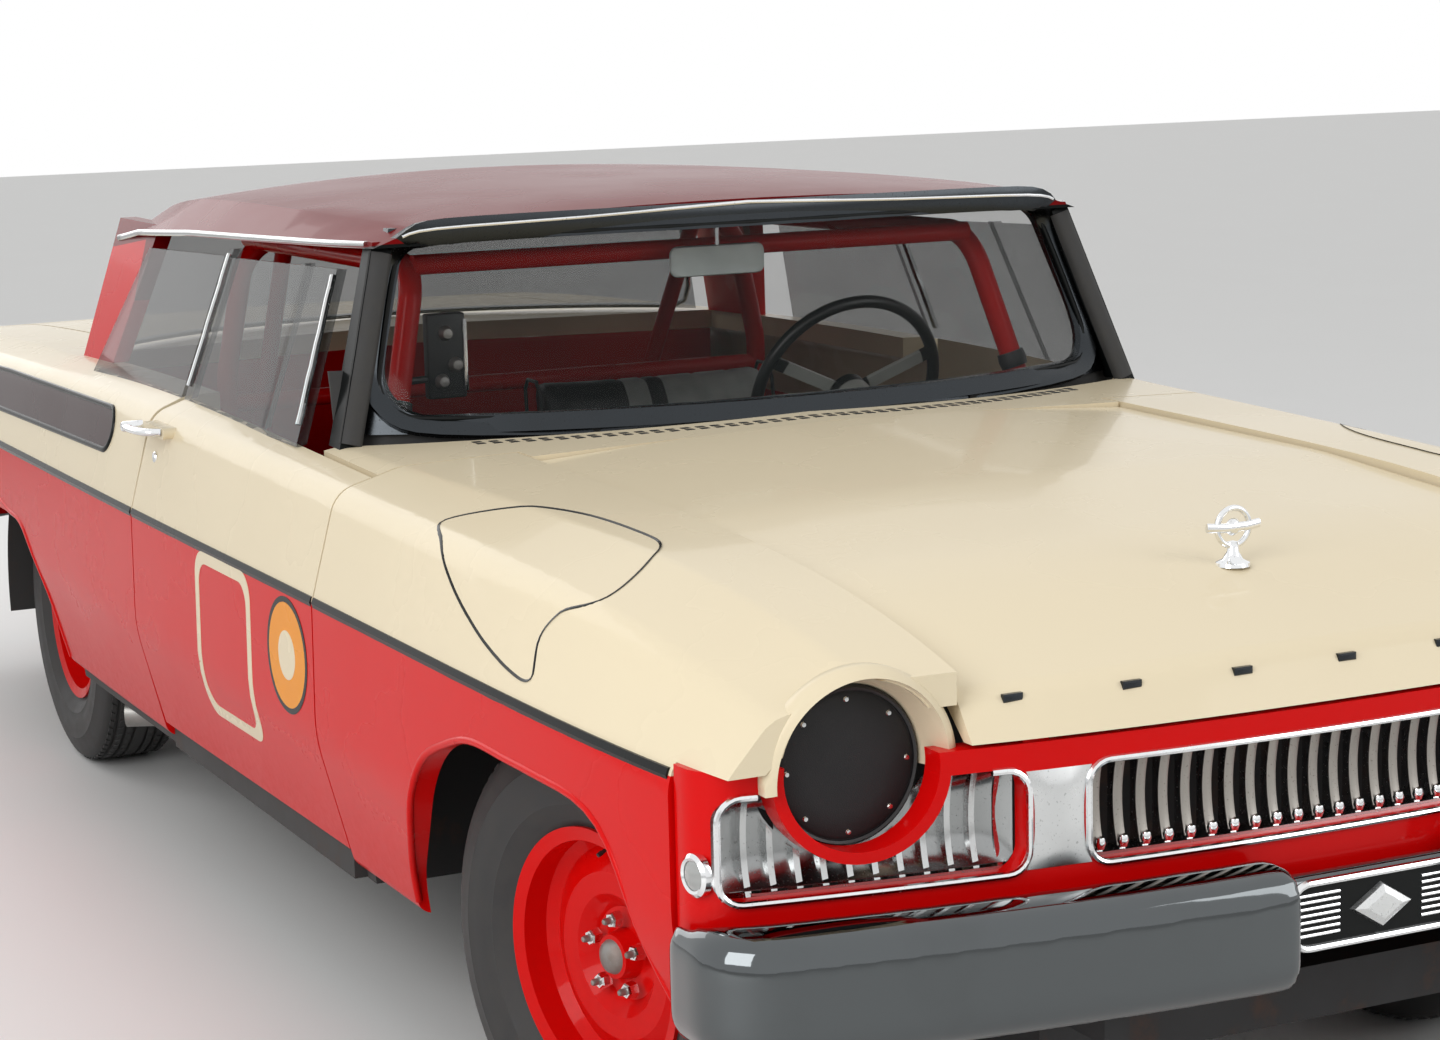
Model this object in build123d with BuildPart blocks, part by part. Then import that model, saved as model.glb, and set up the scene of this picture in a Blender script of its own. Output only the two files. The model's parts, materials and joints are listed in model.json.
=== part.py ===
from build123d import *
import os

# A two-door hardtop stock car of the late 1950s, in millimetres.
# +X is forward, +Y is the car's left, +Z is up. The origin is on the ground,
# below the middle of the car's box.

# Driving dimensions
WHEELBASE = 3099
FRONT_AXLE_X = 1771
REAR_AXLE_X = FRONT_AXLE_X - WHEELBASE
NOSE_X = 2578
TAIL_X = -2555
BUMPER_FRONT_X = 2681
BUMPER_REAR_X = -2681
GAP = 6
WALL = 45
SHEET = 22
SEAT = 0.3

# Wheels
TYRE_R = 360
TYRE_W = 212
RIM_R = 207
RIM_W = 172
WHEEL_Y = 755
HUB_Z = TYRE_R
STEER_REST = 13
KINGPIN_Y = 640

# Panel cuts
MOULDING_Z = 794
BULGE_Z = 560
DOOR_Z = 355
HOOD_Y = 600
HOOD_REAR_X = 1078
LID_Y = 640
LID_FRONT_X = -1560
DOOR_FRONT_X = 1010
DOOR_REAR_X = -105
DOOR_INNER_Y = 872
DOOR_BEVEL = 26
FIREWALL_X = 1060
FENDER_FRONT_X = 2518
BULKHEAD_X = -1110
ARCH_TOP_Z = 706
REAR_ARCH_TOP_Z = 640

# Side sections: x, sill y and z, widest y, moulding y, shoulder y and z, deck y and z, middle z
BODY_STATIONS = [
    (TAIL_X, 880, 430, 955, 962, 905, 925, 780, 948, 955),
    (-1900, 930, 340, 1000, 1000, 945, 965, 820, 985, 1000),
    (-1000, 945, 325, 1002, 1000, 945, 985, 850, 1012, 1030),
    (300, 940, 320, 1000, 996, 945, 990, 862, 1020, 1045),
    (1300, 930, 320, 992, 988, 935, 975, 800, 1012, 1030),
    (2100, 920, 340, 985, 982, 915, 945, 760, 985, 990),
    (FENDER_FRONT_X, 880, 400, 955, 958, 880, 880, 740, 915, 905),
]

# Roof sections: x, drip y and z, corner y and z, middle z
ROOF_STATIONS = [
    (700, 742, 1362, 655, 1394, 1416),
    (300, 778, 1350, 690, 1402, 1436),
    (-350, 778, 1328, 690, 1398, 1435),
    (-800, 768, 1304, 670, 1370, 1412),
    (-1080, 735, 1270, 640, 1318, 1352),
]
ROOF_T = 34

os.makedirs("parts", exist_ok=True)


def keep(part, name):
    part.label = name
    export_step(part, f"parts/{name}.step")


def keep_pair(part, name):
    """Writes a left piece and its mirror image on the right."""
    keep(part, f"{name}_left")
    with BuildPart() as twin:
        mirror(part, about=Plane.XZ)
    keep(twin.part, f"{name}_right")


# The closed left half of the body, lofted through the side sections.
def body_solid(inset, drop):
    with BuildPart() as half:
        for x, sill_y, sill_z, bulge_y, mould_y, shoulder_y, shoulder_z, deck_y, deck_z, middle_z in BODY_STATIONS:
            corners = [
                (0, sill_z - drop),
                (sill_y - inset, sill_z - drop),
                (bulge_y - inset, BULGE_Z),
                (mould_y - inset, MOULDING_Z),
                (shoulder_y - inset, shoulder_z - inset * 0.6),
                (deck_y - inset, deck_z - inset),
                (0, middle_z - inset),
            ]
            with BuildSketch(Plane.YZ.offset(x)):
                with BuildLine():
                    FilletPolyline(*corners, radius=[30, 300, 90, 60, 90])
                    Line(corners[-1], corners[0])
                make_face()
        loft()
    return half.part


OUTER = body_solid(0, 0)
INNER = body_solid(WALL, 200)
with BuildPart() as outer_twin:
    mirror(OUTER, about=Plane.XZ)
OUTER_RIGHT = outer_twin.part
with BuildPart() as outer_both:
    add(OUTER)
    add(OUTER_RIGHT)
BOTH = outer_both.part
with BuildPart() as inner_twin:
    mirror(INNER, about=Plane.XZ)
INNER_RIGHT = inner_twin.part
with BuildPart() as inner_both:
    add(INNER)
    add(INNER_RIGHT)
INNER_BOTH = inner_both.part


def side_block(x_rear, x_front, y_in, z_low, z_high):
    """A block of the body's left side, from y_in outwards, cut to the outer surface."""
    with BuildPart() as block:
        with BuildSketch(Plane.XY.offset(z_low)):
            with Locations(((x_rear + x_front) / 2, y_in + 300)):
                Rectangle(x_front - x_rear, 600)
        extrude(amount=z_high - z_low)
        add(OUTER, mode=Mode.INTERSECT)
    return block.part


# Wheel arches, cut through the side
with BuildPart() as front_arch:
    with BuildSketch(Plane.XZ.offset(-1100)):
        with BuildLine():
            arch_line = [
                (1322, 200),
                (1335, 385),
                (1515, 640),
                (1720, ARCH_TOP_Z),
                (2215, ARCH_TOP_Z),
                (2345, 440),
                (2390, 200),
            ]
            FilletPolyline(*arch_line, radius=[140, 200, 220, 160, 120])
            Line(arch_line[-1], arch_line[0])
        make_face()
    extrude(amount=420)

with BuildPart() as rear_arch:
    with BuildSketch(Plane.XZ.offset(-1100)):
        with BuildLine():
            rear_line = [
                (REAR_AXLE_X - 470, 200),
                (REAR_AXLE_X - 400, 520),
                (REAR_AXLE_X - 230, REAR_ARCH_TOP_Z),
                (REAR_AXLE_X + 230, REAR_ARCH_TOP_Z),
                (REAR_AXLE_X + 400, 520),
                (REAR_AXLE_X + 450, 200),
            ]
            FilletPolyline(*rear_line, radius=[150, 150, 150, 150])
            Line(rear_line[-1], rear_line[0])
        make_face()
    extrude(amount=480)

# Front fenders: a wall, a crown beside the hood, and the brow above the lamp
LAMP_X = 2470
LAMP_Y = 746
LAMP_Z = 796
LAMP_R = 100
LAMP_HOLE_R = 122
with BuildPart() as fender:
    add(side_block(DOOR_FRONT_X + GAP, FENDER_FRONT_X, HOOD_Y + GAP, 300, 1100))
    add(INNER, mode=Mode.SUBTRACT)
    add(front_arch.part, mode=Mode.SUBTRACT)
    with BuildSketch(Plane.YZ.offset(2330)):
        with Locations((LAMP_Y, LAMP_Z)):
            Circle(LAMP_HOLE_R)
    extrude(amount=300, mode=Mode.SUBTRACT)
    # The front panel takes the room below the brow.
    with BuildSketch(Plane.XZ.offset(-1100)):
        with Locations((FENDER_FRONT_X, 100)):
            Rectangle(2 * (FENDER_FRONT_X - 2395), 2 * (MOULDING_Z + 18 - 100))
    extrude(amount=520, mode=Mode.SUBTRACT)
keep_pair(fender.part, "fender")

# Rear quarters, with the long scallop that runs to the tail lamp
with BuildPart() as quarter:
    add(side_block(TAIL_X, DOOR_REAR_X - GAP, LID_Y + GAP, 300, 1100))
    add(INNER, mode=Mode.SUBTRACT)
    add(rear_arch.part, mode=Mode.SUBTRACT)
    # The cabin is open inside the belt rail.
    with BuildSketch(Plane.XY.offset(900)):
        with Locations(((DOOR_REAR_X + BULKHEAD_X) / 2, 700)):
            Rectangle(DOOR_REAR_X - BULKHEAD_X, 200)
    extrude(amount=200, mode=Mode.SUBTRACT)
keep_pair(quarter.part, "quarter")

# Doors, as thick as the whole door, bevelled at the lock side
with BuildPart() as door:
    add(side_block(DOOR_REAR_X, DOOR_FRONT_X, DOOR_INNER_Y, DOOR_Z, 1100))
    with BuildSketch(Plane.XY.offset(DOOR_Z - 10)):
        with BuildLine():
            Polyline(
                (DOOR_REAR_X - 1, DOOR_INNER_Y - 1),
                (DOOR_REAR_X + DOOR_BEVEL, DOOR_INNER_Y - 1),
                (DOOR_REAR_X - 1, 990),
                close=True,
            )
        make_face()
    extrude(amount=800, mode=Mode.SUBTRACT)
    # Push-button handle
    with BuildSketch(Plane.XZ.offset(-925)):
        with Locations((DOOR_REAR_X + 105, 972)):
            SlotOverall(150, 22)
    extrude(amount=-48)
keep_pair(door.part, "door")

# Door glass with its vent window post, leaning in to the roof
GLASS_LOW_Y = 884
GLASS_TOP_Y = 764
GLASS_LOW_Z = 1008
GLASS_TOP_Z = 1318
VENT_LOW_X = 640
VENT_TOP_X = 560
VENT_POST_X = 420
GLASS_REAR_X = DOOR_REAR_X + 14
GLASS_T = 8


def side_glass(x_front_low, x_front_top, x_rear_low, x_rear_top, z_top, thick):
    """A leaning pane between the belt and the roof, cut at both ends."""
    with BuildPart() as pane:
        with BuildSketch(Plane.YZ.offset(x_rear_top - 400)):
            with BuildLine():
                Polyline(
                    (GLASS_LOW_Y, GLASS_LOW_Z),
                    (GLASS_TOP_Y, GLASS_TOP_Z),
                    (GLASS_TOP_Y - thick, GLASS_TOP_Z),
                    (GLASS_LOW_Y - thick, GLASS_LOW_Z),
                    close=True,
                )
            make_face()
        extrude(amount=x_front_low - x_rear_top + 800)
        with BuildSketch(Plane.XZ.offset(-1000)):
            with BuildLine():
                Polyline(
                    (x_front_low, GLASS_LOW_Z),
                    (x_front_top, z_top),
                    (x_rear_top, z_top - (x_front_top - x_rear_top) * 0.03),
                    (x_rear_low, GLASS_LOW_Z),
                    close=True,
                )
            make_face()
        extrude(amount=400, mode=Mode.INTERSECT)
    return pane.part


with BuildPart() as door_glass:
    add(side_glass(VENT_LOW_X, VENT_TOP_X, GLASS_REAR_X, GLASS_REAR_X - 8, GLASS_TOP_Z, GLASS_T))
    # Thicker frame of the vent window and the strip at the rear edge
    for x, lean in ((VENT_LOW_X, 80), (VENT_POST_X, 40), (GLASS_REAR_X + 22, 8)):
        add(side_glass(x, x - lean, x - 22, x - 22 - lean, GLASS_TOP_Z - 2, 20))
    add(OUTER, mode=Mode.SUBTRACT)
keep_pair(door_glass.part, "door_glass")

QUARTER_GLASS_REAR_X = -800
with BuildPart() as quarter_glass:
    add(side_glass(DOOR_REAR_X - 8, DOOR_REAR_X - 16, QUARTER_GLASS_REAR_X, QUARTER_GLASS_REAR_X + 130, 1300, GLASS_T))
    add(OUTER, mode=Mode.SUBTRACT)
keep_pair(quarter_glass.part, "quarter_glass")

# Roof panel, lofted and hollow below
def roof_section(row, inset):
    x, drip_y, drip_z, corner_y, corner_z, middle_z = row
    with BuildSketch(Plane.YZ.offset(x)) as section:
        with BuildLine():
            low = drip_z - 60 if inset else drip_z
            side = (drip_y - inset, low)
            corner = (corner_y - inset, corner_z - inset)
            ThreePointArc((-corner[0], corner[1]), (0, middle_z - inset), corner)
            Line(corner, side)
            Line(side, (-side[0], side[1]))
            Line((-side[0], side[1]), (-corner[0], corner[1]))
        make_face()
    return section.sketch


with BuildPart() as roof_void:
    for row in ROOF_STATIONS:
        add(roof_section(row, ROOF_T))
    loft()

with BuildPart() as roof:
    for row in ROOF_STATIONS:
        add(roof_section(row, 0))
    loft()
    add(roof_void.part, mode=Mode.SUBTRACT)


def pillar(x_low, y_low, z_low, x_top, y_top, z_top, depth_low, depth_top, width):
    """A leaning pillar between two level sections."""
    with BuildPart() as post:
        with BuildSketch(Plane.XY.offset(z_low)):
            with Locations((x_low, y_low)):
                Rectangle(depth_low, width)
        with BuildSketch(Plane.XY.offset(z_top)):
            with Locations((x_top, y_top)):
                Rectangle(depth_top, width)
        loft()
    return post.part


with BuildPart() as pillars:
    for side in (1, -1):
        add(pillar(735, side * 826, 1004, 655, side * 715, 1372, 60, 44, 40))
        add(pillar(-985, side * 812, 1000, -860, side * 726, 1330, 250, 330, 36))

# Windshield: a bent pane and the thick trim round it
SHIELD_LOW = (722, 800, 1032, 948)
SHIELD_TOP = (640, 690, 1392, 720)


def bent_pane(low, top, thick, sign):
    """Loft between two level arcs: corner x, corner y, z and middle x. Sign tells which way it bows."""
    with BuildPart() as pane:
        for corner_x, corner_y, z, middle_x in (low, top):
            with BuildSketch(Plane.XY.offset(z)):
                with BuildLine():
                    ThreePointArc((corner_x, -corner_y), (middle_x, 0), (corner_x, corner_y))
                    Line((corner_x, corner_y), (corner_x - sign * thick, corner_y))
                    ThreePointArc(
                        (corner_x - sign * thick, corner_y),
                        (middle_x - sign * thick, 0),
                        (corner_x - sign * thick, -corner_y),
                    )
                    Line((corner_x - sign * thick, -corner_y), (corner_x, -corner_y))
                make_face()
        loft(ruled=True)
    return pane.part


def pane_window(x, low_y, low_z, top_y, top_z, radius):
    """A rounded window shape, cut straight through along X."""
    with BuildPart() as window:
        with BuildSketch(Plane.YZ.offset(x)):
            with BuildLine():
                FilletPolyline((-low_y, low_z), (low_y, low_z), (top_y, top_z), (-top_y, top_z), radius=radius, close=True)
            make_face()
        extrude(amount=600)
    return window.part


SHIELD_WINDOW = pane_window(500, 762, 1062, 668, 1366, 60)
with BuildPart() as windshield_trim:
    add(bent_pane(SHIELD_LOW, SHIELD_TOP, 26, 1))
    add(SHIELD_WINDOW, mode=Mode.SUBTRACT)
keep(windshield_trim.part, "windshield_trim")
with BuildPart() as windshield:
    add(bent_pane(SHIELD_LOW, SHIELD_TOP, 8, 1))
    add(SHIELD_WINDOW, mode=Mode.INTERSECT)
keep(windshield.part, "windshield")

BACK_LOW = (-1125, 760, 1016, -1470)
BACK_TOP = (-1030, 680, 1306, -1100)
with BuildPart() as backlight:
    add(bent_pane(BACK_LOW, BACK_TOP, 8, -1))
    add(OUTER, mode=Mode.SUBTRACT)
    add(OUTER_RIGHT, mode=Mode.SUBTRACT)
keep(backlight.part, "backlight")

# The roof with its pillars, cut to the body, the windshield trim and the rear window
with BuildPart() as roof_all:
    add(roof.part)
    add(pillars.part)
    add(bent_pane(SHIELD_LOW, SHIELD_TOP, 26.5, 1), mode=Mode.SUBTRACT)
    add(bent_pane(BACK_LOW, BACK_TOP, 8.5, -1), mode=Mode.SUBTRACT)
    add(OUTER, mode=Mode.SUBTRACT)
    add(OUTER_RIGHT, mode=Mode.SUBTRACT)
keep(roof_all.part, "roof")

# Cowl between the hood and the windshield, with the vent grid
COWL_LOW_Z = 850
with BuildPart() as cowl:
    with BuildSketch(Plane.XY.offset(COWL_LOW_Z)):
        with BuildLine():
            ThreePointArc((726, -860), (952, 0), (726, 860))
            Line((726, 860), (DOOR_FRONT_X, 860))
            Line((DOOR_FRONT_X, 860), (DOOR_FRONT_X, HOOD_Y))
            Line((DOOR_FRONT_X, HOOD_Y), (HOOD_REAR_X - GAP, HOOD_Y))
            Line((HOOD_REAR_X - GAP, HOOD_Y), (HOOD_REAR_X - GAP, -HOOD_Y))
            Line((HOOD_REAR_X - GAP, -HOOD_Y), (DOOR_FRONT_X, -HOOD_Y))
            Line((DOOR_FRONT_X, -HOOD_Y), (DOOR_FRONT_X, -860))
            Line((DOOR_FRONT_X, -860), (726, -860))
        make_face()
    extrude(amount=250)
    add(BOTH, mode=Mode.INTERSECT)
keep(cowl.part, "cowl")

# Hood: side profiles lofted across the car, with the front edge rolled down
HOOD_PROFILES = [
    (-HOOD_Y + GAP / 2, 1010, 1002, 966, 874, 2541),
    (-300, 1027, 1010, 974, 880, 2570),
    (0, 1034, 1014, 978, 884, NOSE_X),
    (300, 1027, 1010, 974, 880, 2570),
    (HOOD_Y - GAP / 2, 1010, 1002, 966, 874, 2541),
]
HOOD_LIP_Z = 818
with BuildPart() as hood:
    for y, rear_z, middle_z, front_z, roll_z, front_x in HOOD_PROFILES:
        top = [
            (HOOD_REAR_X, rear_z),
            (1700, middle_z),
            (2200, front_z),
            (front_x - 45, roll_z + 6),
            (front_x, HOOD_LIP_Z),
        ]
        low = [
            (front_x - SHEET, HOOD_LIP_Z),
            (front_x - 45 - SHEET, roll_z - SHEET + 8),
            (2200, front_z - SHEET),
            (1700, middle_z - SHEET),
            (HOOD_REAR_X, rear_z - SHEET),
        ]
        with BuildSketch(Plane.XZ.offset(-y)):
            with BuildLine():
                FilletPolyline(*top, radius=[2000, 1500, 60])
                Line(top[-1], low[0])
                FilletPolyline(*low, radius=[40, 1500, 2000])
                Line(low[-1], top[0])
            make_face()
    loft()
keep(hood.part, "hood")

# Front panel round the grille and the lamps
NOSE_ARC_R = 4660
GRILLE_LOW_Z = 634
GRILLE_TOP_Z = 780
PANEL_LOW_Z = 478
PANEL_T = 42
PANEL_TOP_Z = HOOD_LIP_Z - GAP


def nose_plan(front_x, half_width, rear_x, corner_r, arc_r=NOSE_ARC_R):
    """Plan of the nose: a shallow arc with rounded ends that turn back along the fenders."""
    sag = half_width * half_width / (2 * arc_r)
    with BuildSketch() as plan:
        with BuildLine():
            ThreePointArc((front_x - sag, -half_width), (front_x, 0), (front_x - sag, half_width))
            Line((front_x - sag, half_width), (rear_x, half_width))
            Line((rear_x, half_width), (rear_x, -half_width))
            Line((rear_x, -half_width), (front_x - sag, -half_width))
        make_face()
        fillet(plan.vertices().group_by(Axis.X)[-1], corner_r)
    return plan.sketch


PANEL_REAR_X = 2401
with BuildPart() as nose:
    with BuildSketch(Plane.XY.offset(PANEL_LOW_Z)):
        add(nose_plan(NOSE_X - 2, 962, PANEL_REAR_X, 70))
    extrude(amount=PANEL_TOP_Z - PANEL_LOW_Z)
    with BuildSketch(Plane.XY.offset(PANEL_LOW_Z - 1)):
        add(nose_plan(NOSE_X - PANEL_T, 922, PANEL_REAR_X - 50, 40))
    extrude(amount=PANEL_TOP_Z - PANEL_LOW_Z + 2, mode=Mode.SUBTRACT)
    # Openings of the middle and side grilles
    with BuildSketch(Plane.YZ.offset(2300)):
        with Locations((0, (GRILLE_LOW_Z + GRILLE_TOP_Z) / 2)):
            RectangleRounded(860, GRILLE_TOP_Z - GRILLE_LOW_Z, 34)
        for side in (1, -1):
            with Locations((side * 728, (GRILLE_LOW_Z + GRILLE_TOP_Z) / 2)):
                RectangleRounded(430, GRILLE_TOP_Z - GRILLE_LOW_Z, 34)
        for side in (1, -1):
            with Locations((side * LAMP_Y, LAMP_Z)):
                Circle(LAMP_HOLE_R, mode=Mode.SUBTRACT)
    extrude(amount=400, mode=Mode.SUBTRACT)
    for side in (1, -1):
        with BuildSketch(Plane.YZ.offset(2300)):
            with Locations((side * LAMP_Y, LAMP_Z)):
                Circle(LAMP_R + 6)
        extrude(amount=400, mode=Mode.SUBTRACT)
    # Rubber stops below the hood's lip
    for side in (1, -1):
        with Locations((2530, side * 500, PANEL_TOP_Z + (GAP - SEAT) / 2 - 1)):
            Box(24, 40, GAP - SEAT + 2)
keep(nose.part, "front_panel")

# Grille: vertical bars bowed like shallow scoops, between two rails
BAR_W = 9
BAR_PITCH = 35
BAR_DEPTH = 34
BAR_SCOOP = 16
GRILLE_X = NOSE_X - PANEL_T - SEAT
GRILLE_Y = 900
RAIL_DEPTH = 36


def scooped_bar(x, y):
    """One upright bar of the grille, its front edge scooped back between the rails."""
    low = GRILLE_LOW_Z - 4
    top = GRILLE_TOP_Z + 4
    with BuildPart() as bar:
        with BuildSketch(Plane.XZ.offset(-y - BAR_W / 2)):
            with BuildLine():
                ThreePointArc((x, low), (x - BAR_SCOOP, (low + top) / 2), (x, top))
                Polyline((x, top), (x - BAR_DEPTH, top), (x - BAR_DEPTH, low), (x, low))
            make_face()
        extrude(amount=BAR_W)
    return bar.part


def bar_places():
    """Middle and side places of the bars, as Y values."""
    middle = [BAR_PITCH * i for i in range(-11, 12)]
    sides = [side * (532 + BAR_PITCH * i) for side in (1, -1) for i in range(11)]
    return middle + sides


with BuildPart() as grille:
    for z in (GRILLE_LOW_Z - 8, GRILLE_TOP_Z - 4):
        with BuildSketch(Plane.XY.offset(z)):
            add(nose_plan(GRILLE_X, GRILLE_Y, GRILLE_X - 130, 40))
            add(nose_plan(GRILLE_X - RAIL_DEPTH, GRILLE_Y - 20, GRILLE_X - 180, 30), mode=Mode.SUBTRACT)
        extrude(amount=12)
    for y in bar_places():
        x = GRILLE_X - y * y / (2 * NOSE_ARC_R)
        add(scooped_bar(x, y))
    # Room for the lamps
    for side in (1, -1):
        with BuildSketch(Plane.YZ.offset(2300)):
            with Locations((side * LAMP_Y, LAMP_Z)):
                Circle(LAMP_HOLE_R + 5)
        extrude(amount=300, mode=Mode.SUBTRACT)
keep(grille.part, "grille")

# Headlamps: a bowl with a flat round cover
with BuildPart() as lamps:
    for side in (1, -1):
        with BuildSketch(Plane.YZ.offset(2330)):
            with Locations((side * LAMP_Y, LAMP_Z)):
                Circle(LAMP_R)
        extrude(amount=LAMP_X - 2330)
        with BuildSketch(Plane.YZ.offset(2330)):
            with Locations((side * LAMP_Y, LAMP_Z)):
                Circle(LAMP_HOLE_R - SEAT)
        extrude(amount=LAMP_X - 2330 - 40)
keep(lamps.part, "headlamps")

# Bumpers, hollow behind like pressed steel
BUMPER_LOW_Z = 441
BUMPER_TOP_Z = 620
POD_Y = 165
BUMPER_T = 92
REAR_BUMPER_T = 44
REAR_ARC_R = 9000


def bumper_bar(front_x, half_width, thick, leg_t, rear_x, z_low, z_top, edge_r, arc_r=NOSE_ARC_R):
    """A bowed bar with rounded corners and edges, seen from above as the nose is."""
    with BuildPart() as bar:
        with BuildSketch(Plane.XY.offset(z_low)):
            add(nose_plan(front_x, half_width, rear_x, 110, arc_r))
        extrude(amount=z_top - z_low)
        fillet(bar.faces().sort_by(Axis.Z)[-1].edges().filter_by(lambda e: e.center().X > rear_x + 1), edge_r)
        fillet(bar.faces().sort_by(Axis.Z)[0].edges().filter_by(lambda e: e.center().X > rear_x + 1), edge_r)
        with BuildSketch(Plane.XY.offset(z_low - 1)):
            add(nose_plan(front_x - thick, half_width - leg_t, rear_x - 20, 80, arc_r))
        extrude(amount=z_top - z_low + 2, mode=Mode.SUBTRACT)
    return bar.part


with BuildPart() as bumper_front:
    add(bumper_bar(BUMPER_FRONT_X + 3, 990, BUMPER_T, 22, 2420, BUMPER_LOW_Z, BUMPER_TOP_Z, 48))
    with Locations((2650, 0, 530)):
        Box(300, 2 * POD_Y, 400, mode=Mode.SUBTRACT)
    with BuildSketch(Plane.XY.offset(478)):
        with Locations((2606, 0)):
            Rectangle(38, 2 * POD_Y + 2)
    extrude(amount=112)
keep(bumper_front.part, "bumper_front")

with BuildPart() as forward_bar:
    add(bumper_bar(-BUMPER_REAR_X, 1000, REAR_BUMPER_T, 30, 2440, 400, 580, 42, REAR_ARC_R))
with BuildPart() as bumper_rear:
    mirror(forward_bar.part, about=Plane.YZ)
keep(bumper_rear.part, "bumper_rear")

# Boot lid and the panel below it
LID_REAR_X = TAIL_X
with BuildPart() as boot_lid:
    with BuildSketch(Plane.XY.offset(850)):
        with Locations(((LID_FRONT_X + LID_REAR_X) / 2, 0)):
            Rectangle(LID_FRONT_X - LID_REAR_X, 2 * LID_Y)
    extrude(amount=250)
    add(BOTH, mode=Mode.INTERSECT)
    add(INNER, mode=Mode.SUBTRACT)
    add(INNER_RIGHT, mode=Mode.SUBTRACT)
keep(boot_lid.part, "boot_lid")

TAIL_PANEL_TOP_Z = 895
with BuildPart() as tail_panel:
    with BuildSketch(Plane.XY.offset(430)):
        with Locations((TAIL_X + 24, 0)):
            Rectangle(40, 1700)
    extrude(amount=TAIL_PANEL_TOP_Z - 430)
    # Stops below the lid
    for side in (1, -1):
        with Locations((TAIL_X + 24, side * 450, TAIL_PANEL_TOP_Z)):
            Box(30, 60, 120)
    add(INNER_BOTH.moved(Location((0, 0, -SEAT))), mode=Mode.INTERSECT)
keep(tail_panel.part, "tail_panel")

# The deck between the rear window and the boot lid
with BuildPart() as rear_deck:
    with BuildSketch(Plane.XY.offset(850)):
        with Locations(((BULKHEAD_X + LID_FRONT_X + GAP) / 2, 0)):
            Rectangle(BULKHEAD_X - LID_FRONT_X - GAP, 2 * LID_Y + 2 * GAP)
    extrude(amount=250)
    add(BOTH, mode=Mode.INTERSECT)
    add(INNER, mode=Mode.SUBTRACT)
    add(INNER_RIGHT, mode=Mode.SUBTRACT)
keep(rear_deck.part, "rear_deck")

# Tail lamps, wedges that lean out at the ends of the scallops
with BuildPart() as tail_lamp:
    with BuildSketch(Plane.YZ.offset(TAIL_X)):
        with BuildLine():
            FilletPolyline((690, 900), (900, 918), (938, 850), (850, 800), radius=16, close=True)
        make_face()
    extrude(amount=-46, taper=8)
with BuildPart() as tail_lamps:
    add(tail_lamp.part)
    mirror(tail_lamp.part, about=Plane.XZ)
keep(tail_lamps.part, "tail_lamps")

# Floor with its tunnel, step over the axle, boot floor, sills and wheel tubs
FLOOR_Z = 300
FLOOR_T = 20
KICK_Z = 540
BOOT_Z = 432
TUB_Y = 560
TUNNEL_Y = 140
TUNNEL_Z = 500
SILL_Y = 860
with BuildPart() as sill_ends:
    for side in (1, -1):
        for x_rear, x_front in ((-880, DOOR_REAR_X - 7), (DOOR_FRONT_X + 7, FIREWALL_X)):
            with Locations(((x_rear + x_front) / 2, side * (SILL_Y + 40), (FLOOR_Z + DOOR_Z - GAP) / 2)):
                Box(x_front - x_rear, 92, DOOR_Z - GAP - FLOOR_Z)
    add(INNER_BOTH, mode=Mode.INTERSECT)

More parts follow.
